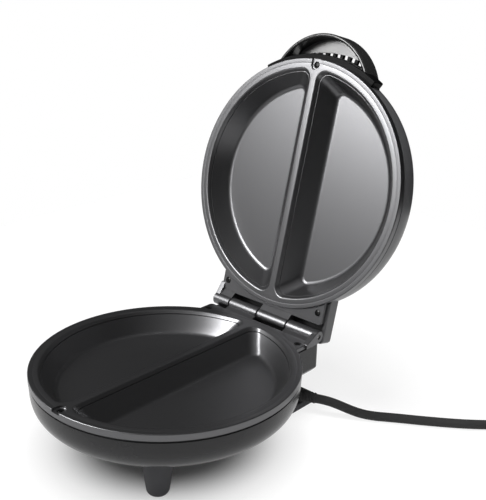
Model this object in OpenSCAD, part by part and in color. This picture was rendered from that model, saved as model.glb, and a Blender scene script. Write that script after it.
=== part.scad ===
// Electric omelette maker: two hinged round halves, each with a cast plate of two half-moon wells.
// The origin lies on the table under the middle of the hinge axis. X runs along the hinge, -Y points
// to the handle and Z is up. The lid stands open against its stop. Each half is drawn in its own
// frame: the middle of the plate is at the origin, and Z falls from the closing face into the bowl.

/* [Plates] */
// Outer radius of a plate's rim
plate_r = 108; // [102:0.5:114]
// Height of a plate's rim wall
rim_h = 6; // [5.5:0.25:8]
// Wall thickness of the cast plates
cast_t = 2.8; // [2.2:0.1:3]
// Width of the flat land between the rim and the wells
land_w = 8.5; // [8:0.25:10]
// Depth of a well
well_depth = 18; // [12:0.5:19]
// How far a well's round wall leans in on its way down
outer_run = 12; // [6:0.5:14]
// How far the wall at the divider leans out on its way down
divider_run = 14; // [6:0.5:16]
// Width of the divider's crest
divider_w = 6.6; // [6.4:0.2:9]
// Corner radius of a well at its mouth
well_corner = 9; // [6:0.5:12]
// Corner radius of a well at its floor
floor_corner = 6; // [4:0.5:9]
// Radius between a well's wall and its floor
floor_fillet = 4; // [2:0.5:6]
// Gap between the two plates when the lid is shut
shut_gap = 0.4; // [0.2:0.1:0.8]
// Width of the tab at the back of a plate
tab_w = 116; // [104:1:118]
// How far the tab's face lies below the closing face
tab_drop = 2; // [1:0.25:2.5]

/* [Screws] */
// Radius of the screws' shanks
screw_r = 1.5; // [1.25:0.05:1.75]
// How far a screw's head stands out past its shank
head_over = 1.4; // [1.2:0.1:1.6]
// Height of a screw's head
head_h = 1.7; // [1.4:0.1:1.8]
// Wall of the bosses that the screws go into
boss_wall = 2.5; // [2:0.1:2.6]
// Length of the plate screws and their bosses
boss_depth = 14; // [12:0.5:14]
// Distance of the front plate screw from the plate's rim
front_screw_in = 5; // [4.5:0.25:5.5]
// How far the rear bosses run into the block's side walls
boss_bite = 0.5; // [0.4:0.1:1]
// Length of the screws that hold shield and handle
short_screw = 8; // [7:0.5:9]

/* [Housings] */
// How far a housing's edge stands in from the plate's rim
rim_step = 0.4; // [0.2:0.1:0.8]
// Depth of a housing below the plate's rim wall
bowl_depth = 38; // [37:0.5:41]
// Fullness of the bowl's curve, where 2 is an ellipse
bowl_power = 3.6; // [3.3:0.05:3.9]
// Wall thickness of the moulded housings
wall = 2.5; // [2:0.1:2.8]
// Height of the dark seal between plate and housing
seal_h = 1.2; // [0.8:0.1:1.6]
// How far the seal stands in from the housing edge
seal_inset = 0.7; // [0.5:0.1:0.9]
// Width of the seal
seal_w = 3.4; // [3:0.1:4]
// Height of the bowl's underside above the table
bowl_clear = 27; // [25:0.25:29]
// Width of the block at the back of the base
block_w = 116; // [114:1:120]
// Depth of that block below the plate's rim wall
block_drop = 31; // [29:0.5:33]
// Bevel along the block's lower side edges
block_bevel = 8; // [4:0.5:10]
// Width of the cover at the back of the lid
cover_w = 121; // [120:0.5:124]
// Depth of that cover above the plate's rim wall
cover_drop = 12; // [11:0.5:14]
// How far the cover reaches past the hinge axis
cover_reach = 7.5; // [7:0.25:9]
// Corner radius of block and cover
block_corner = 4; // [3:0.5:6]

/* [Hinge] */
// Distance of the hinge axis behind the plate's middle
hinge_back = 120; // [118.5:0.5:124]
// Length of the whole barrel
barrel_len = 120; // [116:1:120]
// Length of the short outer knuckle
end_knuckle = 19.5; // [15:0.5:25]
// Outer radius of the knuckles
barrel_r = 5.5; // [5:0.1:5.6]
// Gap between two knuckles
knuckle_gap = 0.8; // [0.4:0.1:1.2]
// Radius of the hinge pin
pin_r = 2; // [1.5:0.1:2.5]
// Running clearance around the pin
pin_clear = 0.06; // [0.03:0.01:0.1]
// Clear space between a plate's tab and the hinge axis
tab_gap = 9; // [8.5:0.25:10]
// Thickness of the arms at the barrel's ends
arm_w = 5; // [4:0.5:7]
// Angle at which the lid rests open
lid_open = 104; // [98:0.5:108]
// Gap between lid cover and base block at the stop
stop_gap = 0.4; // [0.3:0.05:0.8]

/* [Handle] */
// Radius of the handle's outer edge
handle_r = 53; // [50:0.5:56]
// How far the handle stands out in front of the plate's rim
handle_reach = 23; // [21:0.5:25]
// Thickness of the handle's walls
handle_t = 3.3; // [2.6:0.1:3.6]
// Height of the handle's lower edge above the closing face
handle_low = 8.5; // [7.5:0.25:10]
// Height of the handle from its lower edge to its top
handle_h = 19; // [16:0.5:22]
// Outer radius of the collar that carries the handle, past the plate's rim
collar_out = 5; // [4:0.25:6]
// Half angle of the collar
collar_angle = 31; // [28:1:34]
// Width of the vent slots between collar and handle
vent_w = 4; // [3:0.25:5]
// Thickness of the ribs between the vent slots
vent_rib = 2.6; // [2:0.1:3]
// Spacing of the ribs
vent_pitch = 8; // [7:0.25:10]
// Sideways distance of the handle's screws from the middle
handle_screw_x = 30; // [27:0.5:33]

/* [Feet] */
// Sideways distance of a front foot from the middle
foot_x = 49; // [46:0.5:52]
// Distance of the front feet in front of the plate's middle
foot_y = 55; // [52:0.5:58]
// Radius of a front foot where it meets the bowl
foot_root_r = 15; // [14:0.25:16]
// Radius of a front foot above its tip
foot_tip_r = 9; // [8:0.1:9.5]
// Radius of the flat that stands on the table
foot_flat_r = 5; // [3:0.25:6]
// Clearance between a foot and the bowl it is plugged into
seat_gap = 0.1; // [0.05:0.05:0.2]
// Width of the rear foot's flange
flange_w = 100; // [94:1:106]
// Thickness of the rear foot's flange
flange_t = 7; // [6:0.25:8]
// How far the flange reaches behind the hinge axis
flange_back = 16; // [12:0.5:20]
// How far the flange reaches in front of the hinge axis
flange_front = 25; // [25:0.5:28]
// Distance between the round ends of the neck that the cord is wound on
neck_span = 60; // [56:1:64]
// Radius of the neck's round ends
neck_r = 11; // [10.5:0.25:11.5]
// Distance of the neck's middle in front of the hinge axis
neck_front = 13; // [12.5:0.25:13]

/* [Heating] */
// Radius of the ring that the element is bent to
element_ring = 62; // [56:1:66]
// Radius of the element's steel tube
element_r = 3.25; // [2.75:0.05:3.75]
// Distance between the element's two legs
leg_w = 28; // [24:1:34]
// Thickness of the heat shield's sheet
shield_t = 1; // [0.6:0.1:1.2]
// Radius of the heat shield
shield_r = 84; // [78:0.5:84]
// Radius of the thermostat's can
thermostat_r = 8; // [6:0.5:9]
// Height of the thermostat's can
thermostat_h = 9; // [7:0.5:9.5]
// Radius of an indicator lens
lens_r = 3.5; // [2.5:0.25:4.5]
// Sideways distance of a lens from the middle
lens_x = 9; // [7:0.5:11]
// Distance of the lenses in front of the plate's middle
lens_front = 40; // [30:1:50]
// Width of the holder behind the lenses
holder_w = 50; // [46:1:54]

/* [Cord] */
// Diameter of the mains cord
cord_d = 8; // [7.5:0.25:8.25]
// Length of the tapered strain relief
relief_len = 22; // [20:1:24]
// Direction of the strain relief, turned from the hinge axis
relief_turn = 20; // [15:1:25]
// Height of the cord's exit above the table
exit_z = 13.6; // [13.4:0.2:14.5]
// Radius of the coil's outer turn
coil_r = 46; // [44:0.5:48]
// Distance from one turn to the next
coil_step = 8.6; // [8.5:0.1:9]
// Thickness of the tie's strap
tie_t = 1; // [0.6:0.1:1.2]
// Width of the tie's strap
tie_w = 12; // [8:0.5:16]
// Width of the plug's body
plug_w = 49; // [46:0.5:52]
// Thickness of the plug's body
plug_t = 22; // [20:0.5:24]

/* [Hidden] */
$fn = 96;

// Colours, as the photograph shows them
shell_grey = [0.24, 0.24, 0.25];
cast_grey = [0.30, 0.30, 0.31];
black = [0.05, 0.05, 0.05];
steel = [0.72, 0.72, 0.70];

// Heights in a half's own frame, where the closing face is at zero
hinge_z = bowl_clear + bowl_depth + rim_h;
face_z = -shut_gap / 2;
tab_z = face_z - tab_drop;
edge_z = -rim_h;
lip_z = edge_z - seal_h;
floor_z = face_z - well_depth;
pan_z = floor_z - cast_t;
well_r = plate_r - land_w;
bowl_r = plate_r - rim_step;
tab_back = hinge_back - tab_gap;
boss_r = screw_r + boss_wall;
head_r = screw_r + head_over;
front_screw_y = plate_r - front_screw_in;
rear_screw_x = block_w / 2 - wall - boss_r + boss_bite;
rear_screw_y = tab_back - 2.5 * boss_r;
plate_screws = [[0, -front_screw_y], [-rear_screw_x, rear_screw_y], [rear_screw_x, rear_screw_y]];
fit_gap = 0.05;
// The block's back face stops the cover's edge when the lid lies back by lid_open
block_back = hinge_back + cover_reach * cos(lid_open) + rim_h * sin(lid_open) - stop_gap;
// Numbers of segments in the lofts and profiles
arc_n = 40;
bend_n = 5;
bowl_n = 26;

// Points along a bowl's curve, from the depth start_d down to the middle
function bowl_depth_at(r, size, depth) = depth * pow(1 - pow(r / size, bowl_power), 1 / bowl_power);
function bowl_radius_at(d, size, depth) = size * pow(1 - pow(d / depth, bowl_power), 1 / bowl_power);
function bowl_curve(size, depth, start_d) = concat(
    [[bowl_radius_at(start_d, size, depth), edge_z - start_d]],
    [for (i = [1:bowl_n])
        let (w = 90 * i / bowl_n, d = depth * pow(sin(w), 2 / bowl_power))
        if (d > start_d + 0.5) [i == bowl_n ? 0 : size * pow(cos(w), 2 / bowl_power), edge_z - d]]);

// Outline of a half-moon: an arc about the middle, a straight side at x = a and round corners
function moon(r, a, c, z) =
    let (y = sqrt(pow(r - c, 2) - pow(a + c, 2)), t = atan2(y, a + c))
    concat(
        [for (i = [0:arc_n]) let (w = t * (2 * i / arc_n - 1)) [r * cos(w), r * sin(w), z]],
        [for (i = [1:bend_n]) let (w = t + (180 - t) * i / bend_n)
            [a + c + c * cos(w), y + c * sin(w), z]],
        [for (i = [0:bend_n - 1]) let (w = 180 + (180 - t) * i / bend_n)
            [a + c + c * cos(w), -y + c * sin(w), z]]);

// A well's outline at a share of its depth, grown by the wall that surrounds it
function well_ring(share, inset, grow, z) = moon(
    well_r - outer_run * share - inset + grow,
    divider_w / 2 + divider_run * share + inset - grow,
    well_corner + (floor_corner - well_corner) * share + grow, z);

// Depth shares and insets that round the floor's edge
fillet_share = floor_fillet / well_depth;
floor_steps = [[1 - fillet_share, 0], [1 - 0.55 * fillet_share, 0.2], [1 - 0.2 * fillet_share, 0.8], [1, 2]];

// A closed body through rings of points, each with as many points as the first
module loft(rings) {
    n = len(rings[0]);
    last = len(rings) - 1;
    polyhedron(
        points = [for (ring = rings) each ring],
        faces = concat(
            [[for (i = [n - 1:-1:0]) i]],
            [[for (i = [0:n - 1]) last * n + i]],
            [for (k = [0:last - 1], i = [0:n - 1]) [k * n + i, k * n + (i + 1) % n, (k + 1) * n + (i + 1) % n]],
            [for (k = [0:last - 1], i = [0:n - 1]) [k * n + i, (k + 1) * n + (i + 1) % n, (k + 1) * n + i]]));
}

// Rings of a tube along a path; every ring stands square to the path
function unit(v) = v / norm(v);
function tube_rings(path, r, sides) =
    [for (i = [0:len(path) - 1])
        let (
            t = unit(path[min(i + 1, len(path) - 1)] - path[max(i - 1, 0)]),
            s = unit(cross([0, 0, 1], t)),
            u = cross(t, s))
        [for (k = [0:sides - 1])
            let (w = -360 * (k + 0.5) / sides) path[i] + r * (cos(w) * s + sin(w) * u)]];

module round_rect(x1, x2, y1, y2, r) {
    translate([x1 + r, y1]) square([x2 - x1 - 2 * r, y2 - y1]);
    translate([x1, y1 + r]) square([x2 - x1, y2 - y1 - 2 * r]);
    for (x = [x1 + r, x2 - r], y = [y1 + r, y2 - r]) translate([x, y]) circle(r = r);
}

// An extrusion along X of an outline drawn in Y and Z
module along_x(x1, x2) translate([x1, 0, 0]) rotate([90, 0, 90]) linear_extrude(x2 - x1) children();

// A pan-head screw whose head sits on z = 0 and whose shank points down
module screw(length) {
    cylinder(h = head_h, r = head_r);
    translate([0, 0, -length]) cylinder(h = length + 0.1, r = screw_r);
}

// Frames of the two halves
module base_half() translate([0, -hinge_back, hinge_z]) children();
module lid_half() translate([0, 0, hinge_z]) rotate([-lid_open, 0, 0]) mirror([0, 0, 1])
    translate([0, -hinge_back, 0]) children();

// Housings

module bowl_body(inset, start_d) rotate_extrude() polygon(concat(
    [[0, edge_z - start_d]], bowl_curve(bowl_r - inset, bowl_depth - inset, start_d)));

module block_body(inset, top_z) {
    half = block_w / 2 - inset;
    low = edge_z - block_drop + inset;
    corner = block_corner - inset * 0.6;
    intersection() {
        translate([0, 0, low]) linear_extrude(top_z - low)
            round_rect(-half, half, bowl_r * 0.6, block_back - inset, corner);
        translate([0, block_back, 0]) rotate([90, 0, 0]) linear_extrude(block_back) polygon([
            [-half, top_z], [-half, low + block_bevel], [-half + block_bevel, low],
            [half - block_bevel, low], [half, low + block_bevel], [half, top_z]]);
    }
}

module cover_body(inset, top_z) {
    half = cover_w / 2 - inset;
    low = edge_z - cover_drop + inset;
    translate([0, 0, low]) linear_extrude(top_z - low)
        round_rect(-half, half, bowl_r * 0.6, hinge_back + cover_reach - inset, block_corner - inset * 0.6);
}

module plate_bosses() for (p = plate_screws)
    translate([p.x, p.y, lip_z - boss_depth]) cylinder(h = boss_depth, r = boss_r);

module plate_boss_bores() for (p = plate_screws)
    translate([p.x, p.y, lip_z - boss_depth + 2]) cylinder(h = boss_depth, r = screw_r + fit_gap);

// Posts on the bowl's floor that carry the heat shield
shield_z = pan_z - 2 * element_r - 4;
post_ring = shield_r * 0.62;
module at_posts() for (w = [30, 150, 270]) rotate([0, 0, w]) translate([post_ring, 0, 0]) children();
module shield_posts() at_posts() translate([0, 0, edge_z - bowl_depth]) cylinder(
    h = bowl_depth + edge_z + shield_z - shield_t - fit_gap - 2 * edge_z, r = boss_r);
module shield_post_bores() at_posts() translate([0, 0, shield_z - short_screw - 0.5])
    cylinder(h = short_screw + 1, r = screw_r + fit_gap);

module base_housing() color(shell_grey) base_half() difference() {
    union() {
        bowl_body(0, seal_h);
        block_body(0, lip_z);
    }
    difference() {
        union() {
            bowl_body(wall, 0);
            block_body(wall, edge_z);
        }
        plate_bosses();
        shield_posts();
        for (x = foot_screw_x) translate([x, hinge_back - neck_front, edge_z - block_drop])
            cylinder(h = 9, r = boss_r);
    }
    plate_boss_bores();
    shield_post_bores();
    for (x = [-foot_x, foot_x]) translate([x, -foot_y, edge_z - bowl_depth])
        cylinder(h = 30, r = stud_r + seat_gap);
    for (x = foot_screw_x) translate([x, hinge_back - neck_front, edge_z - block_drop - 1])
        cylinder(h = 8, r = screw_r + fit_gap);
    translate([0, hinge_back - neck_front, edge_z - block_drop - 1]) cylinder(h = wall + 2, r = cord_d);
}

module lid_housing() color([0.30, 0.30, 0.31]) lid_half() difference() {
    union() {
        bowl_body(0, seal_h);
        difference() {
            cover_body(0, edge_z);
            translate([0, 0, lip_z]) cylinder(h = rim_h, r = bowl_r + 1);
        }
    }
    difference() {
        union() {
            bowl_body(wall, 0);
            cover_body(wall, 0);
        }
        plate_bosses();
        shield_posts();
        for (x = holder_screw_x) translate([x, -lens_front, edge_z - bowl_depth])
            cylinder(h = bowl_depth + edge_z + holder_z - 2 * edge_z - fit_gap, r = boss_r);
    }
    plate_boss_bores();
    shield_post_bores();
    for (x = [-lens_x, lens_x]) translate([x, -lens_front, edge_z - bowl_depth - 1])
        cylinder(h = bowl_depth, r = lens_r + fit_gap);
    handle_screw_bores();
}

// Seals

module rim_plan(inset) {
    circle(r = bowl_r - inset);
    round_rect(inset - block_w / 2, block_w / 2 - inset, bowl_r * 0.6, block_back - inset,
        block_corner - inset * 0.6);
}

module boss_notches() for (p = plate_screws)
    translate([p.x, p.y, lip_z - 1]) cylinder(h = seal_h + 2, r = boss_r + 2 * seat_gap);

module base_rim_seal() color(black) base_half() difference() {
    translate([0, 0, lip_z]) linear_extrude(seal_h) difference() {
        rim_plan(seal_inset);
        rim_plan(seal_inset + seal_w);
    }
    boss_notches();
}

module lid_rim_seal() color(black) lid_half() difference() {
    translate([0, 0, lip_z]) linear_extrude(seal_h) difference() {
        circle(r = bowl_r - seal_inset);
        circle(r = bowl_r - seal_inset - seal_w);
    }
    boss_notches();
}

// Plates

module well_body() loft(concat(
    [well_ring(0, -3.2, 0, 2), well_ring(0, -1.2, 0, face_z), well_ring(1.2 / well_depth, 0, 0, face_z - 1.2)],
    [for (s = floor_steps) well_ring(s[0], s[1], 0, face_z - well_depth * s[0])]));

module pan_body() loft(concat(
    [well_ring(0, 0, cast_t, face_z - 1)],
    [for (s = floor_steps) well_ring(s[0], s[1], cast_t, face_z - cast_t - well_depth * s[0])]));

module both_sides() {
    children();
    mirror([1, 0, 0]) children();
}

// One knuckle with the web that ties it to its plate's tab, and an arm at an outer end
module knuckle(x1, x2, arm_x1, arm_x2) translate([0, hinge_back, 0]) {
    along_x(x1, x2) {
        circle(r = barrel_r);
        polygon([[-tab_gap - 1, edge_z], [-tab_gap - 1, tab_z], [-barrel_r * 0.8, barrel_r * 0.45],
            [0, 0], [0, -barrel_r]]);
    }
    if (arm_x2 > arm_x1) along_x(arm_x1, arm_x2) polygon([[-tab_gap - 7, edge_z], [-tab_gap - 7, tab_z],
        [-barrel_r * 0.6, barrel_r * 0.8], [0, 0], [0, -barrel_r]]);
}

module plate_body() difference() {
    union() {
        rotate_extrude() polygon([[0, face_z - cast_t], [0, face_z], [plate_r - 1.5, face_z],
            [plate_r - 0.45, face_z - 0.45], [plate_r, face_z - 1.5], [plate_r, edge_z],
            [plate_r - cast_t, edge_z], [plate_r - cast_t, face_z - cast_t]]);
        translate([0, 0, edge_z]) linear_extrude(tab_z - edge_z) difference() {
            round_rect(-tab_w / 2, tab_w / 2, plate_r * 0.6, tab_back, 3);
            circle(r = plate_r - cast_t);
        }
        both_sides() pan_body();
        for (p = plate_screws) translate([p.x, p.y, lip_z + fit_gap])
            cylinder(h = tab_z - lip_z - fit_gap, r = boss_r);
    }
    both_sides() well_body();
    translate([0, -front_screw_y, tab_z]) linear_extrude(rim_h) {
        circle(r = boss_r + 0.5);
        translate([-boss_r - 0.5, -rim_h - 2]) square([2 * boss_r + 1, rim_h + 2]);
    }
    for (p = plate_screws) translate([p.x, p.y, tab_z - head_h]) cylinder(h = rim_h, r = head_r + fit_gap);
    for (p = plate_screws) translate([p.x, p.y, lip_z - 1]) cylinder(h = rim_h, r = screw_r + fit_gap);
}

module pin_bore() translate([-barrel_len, hinge_back, 0]) rotate([0, 90, 0])
    cylinder(h = 2 * barrel_len, r = pin_r + pin_clear);

// Knuckles share the barrel: a short one for the lid, then base, lid and base in equal lengths
half_len = barrel_len / 2;
knuckle_len = (barrel_len - end_knuckle) / 3;
first_joint = end_knuckle - half_len;
half_gap = knuckle_gap / 2;

module base_plate() color(cast_grey) base_half() difference() {
    union() {
        plate_body();
        knuckle(first_joint + half_gap, first_joint + knuckle_len - half_gap, 0, 0);
        knuckle(first_joint + 2 * knuckle_len + half_gap, half_len, half_len - arm_w, half_len);
    }
    pin_bore();
}

module lid_plate() color(cast_grey) lid_half() difference() {
    union() {
        plate_body();
        knuckle(-half_len, first_joint - half_gap, -half_len, arm_w - half_len);
        knuckle(first_joint + knuckle_len + half_gap, first_joint + 2 * knuckle_len - half_gap, 0, 0);
    }
    pin_bore();
}

module hinge_pin() color(steel) translate([-half_len + 1, 0, hinge_z]) rotate([0, 90, 0])
    cylinder(h = barrel_len - 2, r = pin_r);

module plate_screw_set() for (p = plate_screws) translate([p.x, p.y, tab_z - head_h + 0.02])
    screw(boss_depth);

module base_plate_screws() color(steel) base_half() plate_screw_set();

module lid_plate_screws() color(steel) lid_half() plate_screw_set();

// Heating elements

element_z = pan_z - element_r - fit_gap;
leg_angle = asin(leg_w / 2 / element_ring);
leg_start = element_ring * cos(leg_angle);
leg_end = 86;

module element_body() {
    rotate([0, 0, 90 + leg_angle]) translate([0, 0, element_z])
        rotate_extrude(angle = 360 - 2 * leg_angle) translate([element_ring, 0]) circle(r = element_r);
    both_sides() translate([leg_w / 2, leg_start - element_r * 0.8, element_z]) rotate([-90, 0, 0]) {
        cylinder(h = leg_end - leg_start, r = element_r * 0.92);
        cylinder(h = leg_end - leg_start + 9, r = element_r * 0.4);
    }
}

module base_element() color(steel) base_half() element_body();

module lid_element() color(steel) lid_half() element_body();

// Clips hold the element against the pans: an arch over the tube and two riveted feet
clip_t = 0.9;
clip_r = element_r + fit_gap + 0.1;

module element_clip() rotate([90, 0, 0]) translate([0, 0, -4]) {
    linear_extrude(8) {
        difference() {
            circle(r = clip_r + clip_t);
            circle(r = clip_r);
            translate([-clip_r - 2, 0]) square([2 * clip_r + 4, clip_r + 2]);
        }
        both_sides() translate([clip_r, 0]) square([clip_t, element_r - 0.2]);
        both_sides() translate([clip_r, element_r - 0.2 - clip_t]) square([9, clip_t]);
    }
    both_sides() translate([clip_r + 5.5, element_r - 0.2 - clip_t, 4]) rotate([90, 0, 0])
        cylinder(h = 0.8, r = 1.8);
}

module element_clip_set() for (w = [45, 135, 225, 315]) rotate([0, 0, w])
    translate([element_ring, 0, element_z]) element_clip();

module base_element_clips() color(steel) base_half() element_clip_set();

module lid_element_clips() color(steel) lid_half() element_clip_set();

module heat_shield_body() difference() {
    translate([0, 0, shield_z]) rotate_extrude() polygon([[0, -shield_t], [0, 0],
        [shield_r * 0.82, 0], [shield_r - shield_t, 3], [shield_r, 3], [shield_r * 0.82 + 1, -shield_t]]);
    at_posts() translate([0, 0, shield_z - 5]) cylinder(h = 10, r = screw_r + fit_gap);
}

module shield_screw_set() at_posts() translate([0, 0, shield_z + 0.02]) screw(short_screw);

module base_heat_shield() color(steel) base_half() heat_shield_body();

module lid_heat_shield() color(steel) lid_half() heat_shield_body();

module base_shield_screws() color(steel) base_half() shield_screw_set();

module lid_shield_screws() color(steel) lid_half() shield_screw_set();

// Controls in the base

module thermostat() color([0.8, 0.78, 0.7]) base_half() translate([40, 0, pan_z - fit_gap]) {
    translate([0, 0, -thermostat_h * 0.4]) cylinder(h = thermostat_h * 0.4, r = thermostat_r);
    translate([0, 0, -thermostat_h]) cylinder(h = thermostat_h, r = thermostat_r * 0.8);
    both_sides() translate([thermostat_r * 0.5, -2, -thermostat_h * 0.8])
        cube([thermostat_r * 0.7, 4, 0.8]);
}

module thermal_fuse() color([0.85, 0.85, 0.8]) base_half()
    translate([-40, -11, pan_z - fit_gap - 2.4]) rotate([-90, 0, 0]) {
        cylinder(h = 22, r = 2.4);
        translate([0, 0, -8]) cylinder(h = 38, r = 0.8);
    }

// Three terminals in a row, clear of the block's bevelled corner
terminal_step = 7;
terminal_first = block_bevel + wall + 4 - block_w / 2;
terminal_x = [for (i = [0:2]) terminal_first + i * terminal_step];

module terminal_block() color([0.9, 0.88, 0.82]) base_half()
    translate([0, block_back - 18, edge_z - block_drop + wall + fit_gap]) difference() {
        union() {
            translate([terminal_first - terminal_step / 2, -6, 0]) cube([3 * terminal_step, 12, 6]);
            for (x = terminal_x) translate([x, 0, 0]) cylinder(h = 11, r = 3.2);
        }
        for (x = terminal_x) translate([x, 0, 4]) cylinder(h = 8, r = 1.6);
    }

// Feet

// Height at which a foot's axis meets the bowl
foot_seat = hinge_z + edge_z - bowl_depth_at(norm([foot_x, foot_y]), bowl_r, bowl_depth);
foot_top = foot_seat + 13;
stud_r = 3;
foot_screw_x = [-neck_span / 3, neck_span / 3];

module front_foot(side) color([0.12, 0.12, 0.12])
    translate([side * foot_x, -hinge_back - foot_y, 0]) {
        difference() {
            rotate_extrude() polygon(concat([[0, foot_top], [0, 0], [foot_flat_r, 0]],
                [for (i = [1:6]) let (w = 15 * i)
                    [foot_flat_r + (foot_tip_r - foot_flat_r) * sin(w), 5 * (1 - cos(w))]],
                [[foot_root_r, foot_top]]));
            translate([-side * foot_x, foot_y, hinge_z]) bowl_body(-seat_gap, 0);
        }
        translate([0, 0, foot_seat - 10]) cylinder(h = wall + 13, r = stud_r);
    }

module front_foot_left() front_foot(-1);

module front_foot_right() front_foot(1);

block_low = hinge_z + edge_z - block_drop;

module neck_plan(inset) {
    for (x = [-1, 1]) translate([x * neck_span / 2, -neck_front]) circle(r = neck_r - inset);
    translate([-neck_span / 2, inset - neck_front - neck_r]) square([neck_span, 2 * (neck_r - inset)]);
}

module rear_foot() color([0.07, 0.07, 0.07]) difference() {
    union() {
        linear_extrude(flange_t) round_rect(-flange_w / 2, flange_w / 2, -flange_front, flange_back, 8);
        linear_extrude(block_low - fit_gap) difference() {
            neck_plan(0);
            neck_plan(wall);
        }
        for (x = foot_screw_x) translate([x, -neck_front, 0]) cylinder(h = block_low - fit_gap, r = boss_r);
    }
    for (x = foot_screw_x) translate([x, -neck_front, -1]) {
        cylinder(h = 5, r = head_r + 0.3);
        cylinder(h = block_low + 2, r = screw_r + fit_gap);
    }
    at_relief() cylinder(h = 40, r = relief_root_r + seat_gap);
}

module rear_foot_screws() color(steel) for (x = foot_screw_x)
    translate([x, -neck_front, 4 - 0.02]) mirror([0, 0, 1]) screw(block_low + 1);

// Mains cord

cord_r = cord_d / 2;
relief_root_r = cord_r + 1.9;
relief_end = neck_r + 1 + relief_len;

// The relief's axis runs through the middle of the neck's right end
module at_relief() translate([neck_span / 2, -neck_front, exit_z]) rotate([0, 0, relief_turn])
    rotate([0, 90, 0]) children();

module strain_relief() color(black) at_relief() {
    translate([0, 0, 4]) cylinder(h = neck_r - 2, r = relief_root_r);
    translate([0, 0, neck_r + 0.4]) cylinder(h = 1.6, r = relief_root_r + 0.3);
    translate([0, 0, neck_r + 1]) cylinder(h = relief_len, r1 = relief_root_r, r2 = cord_r + 0.7);
}

module cord_clamp() color([0.6, 0.6, 0.58]) translate([0, -neck_front, flange_t + fit_gap]) {
    translate([-9, -4, 0]) cube([18, 8, 4]);
    for (x = [-6, 6]) translate([x, 0, 0]) cylinder(h = 6, r = 2.4);
}

relief_dir = [cos(relief_turn), sin(relief_turn), 0];
cord_start = [neck_span / 2, -neck_front, exit_z] + relief_end * relief_dir;

// The coil lies flat beside the base; it is lifted by the tie's strap under it
coil_mid = [243, 71.5];
coil_enter = 125;
coil_leave = 0;
turns = 2 + (coil_enter - coil_leave) / 360;
coil_low = cord_r + tie_t + 0.4;
coil_high = coil_low + cord_d + 0.6;
lead = cord_d + 1;
tail = 33;

function coil_point(t) =
    let (
        r = coil_r - coil_step * min(t, turns - t),
        climb = min(max(t - (turns / 2 - 0.25), 0), 0.5) * 2,
        z = coil_low + (coil_high - coil_low) * (1 - cos(180 * climb)) / 2,
        w = coil_enter - 360 * t)
    [coil_mid.x + r * cos(w), coil_mid.y + r * sin(w), z];

coil_steps = round(24 * turns);
coil_turns = [for (i = [0:coil_steps]) coil_point(turns * i / coil_steps)];
enter_dir = [cos(coil_enter - 90), sin(coil_enter - 90), 0];
coil_in = coil_turns[0] - lead * enter_dir;
coil_out = coil_turns[coil_steps] - tail * [0, 1, 0];
coil_path = concat([coil_in], coil_turns, [coil_out]);

// Least distance between turns that lie more than a third of a turn apart along the coil
coil_gap = min([for (i = [0:coil_steps], j = [i + 8:1:coil_steps]) norm(coil_turns[i] - coil_turns[j])]) - cord_d;
echo(least_gap_in_coil = coil_gap);

// The free stretch, by hand: off the relief, down to the table and along it to the coil
cord_route = [[75, 4.2, 12.6], [82, 8, 10.4], [89.5, 12.4, 7.6], [97.5, 17.6, 5.2], [106, 23.4, 4.1],
    [115, 29.6, 4], [125, 36.4, 4], [136, 43.6, 4], [148, 51.8, 4], [160, 60.4, 4],
    [172, 69.8, 4], [183, 79.6, 4], [192, 88.6, 4.2]];

module power_cord() color(black) loft(tube_rings(
    concat([cord_start, cord_start + cord_d * relief_dir], cord_route, [coil_in - lead * enter_dir, coil_in]),
    cord_r, 8));

module cord_coil() color(black) loft(tube_rings(coil_path, cord_r, 6));

// The tie goes round all the turns on the coil's far right side
tie_turn = 40;
module cord_tie() color([0.1, 0.1, 0.1]) {
    low = coil_low - cord_r - 0.4;
    high = coil_high + cord_r + 0.4;
    inner = coil_r - coil_step * turns / 2 - cord_r - 0.6;
    outer = coil_r + cord_r + 0.6;
    translate([coil_mid.x, coil_mid.y, 0]) rotate([0, 0, tie_turn]) rotate([90, 0, 0])
        translate([0, 0, -tie_w / 2]) linear_extrude(tie_w) difference() {
            round_rect(inner - tie_t, outer + tie_t, low - tie_t, high + tie_t, 3);
            round_rect(inner, outer, low, high, 2);
        }
}

// Three-pin mains plug on its back, its pins up

plug_gland = 13;
plug_top_y = coil_out.y - plug_gland;
pin_gap = 22.2;
pin_row_y = plug_top_y - 14;

module plug_body() color(black) difference() {
    union() {
        translate([coil_out.x, 0, 0]) {
            linear_extrude(plug_t - 3) round_rect(-plug_w / 2, plug_w / 2, plug_top_y - plug_w, plug_top_y, 10);
            linear_extrude(plug_t) round_rect(3 - plug_w / 2, plug_w / 2 - 3, plug_top_y - plug_w + 3,
                plug_top_y - 3, 8);
        }
        translate([coil_out.x, plug_top_y - 2, coil_out.z]) rotate([-90, 0, 0])
            cylinder(h = plug_gland + 2, r1 = cord_r + 4, r2 = cord_r + 1.5);
    }
    translate([coil_out.x - 9, pin_row_y - 5, plug_t - 4]) cube([18, 10, 5]);
    translate([coil_out.x, pin_row_y, plug_t - 8]) pin_prints(seat_gap, 20);
}

// Cross sections of the two flat pins and the earth pin, extruded upward
module pin_prints(grow, h) {
    for (x = [-pin_gap / 2, pin_gap / 2]) translate([x - 3.2 - grow, -2 - grow, 0])
        cube([6.4 + 2 * grow, 4 + 2 * grow, h]);
    translate([-2 - grow, -pin_gap - 4 - grow, 0]) cube([4 + 2 * grow, 8 + 2 * grow, h]);
}

module plug_pins() color([0.85, 0.7, 0.35]) translate([coil_out.x, pin_row_y, plug_t - 8 + fit_gap]) {
    intersection() {
        pin_prints(0, 25.5);
        translate([-20, -10, 0]) cube([40, 20, 50]);
    }
    intersection() {
        pin_prints(0, 30.5);
        translate([-20, -40, 0]) cube([40, 25, 50]);
    }
}

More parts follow.
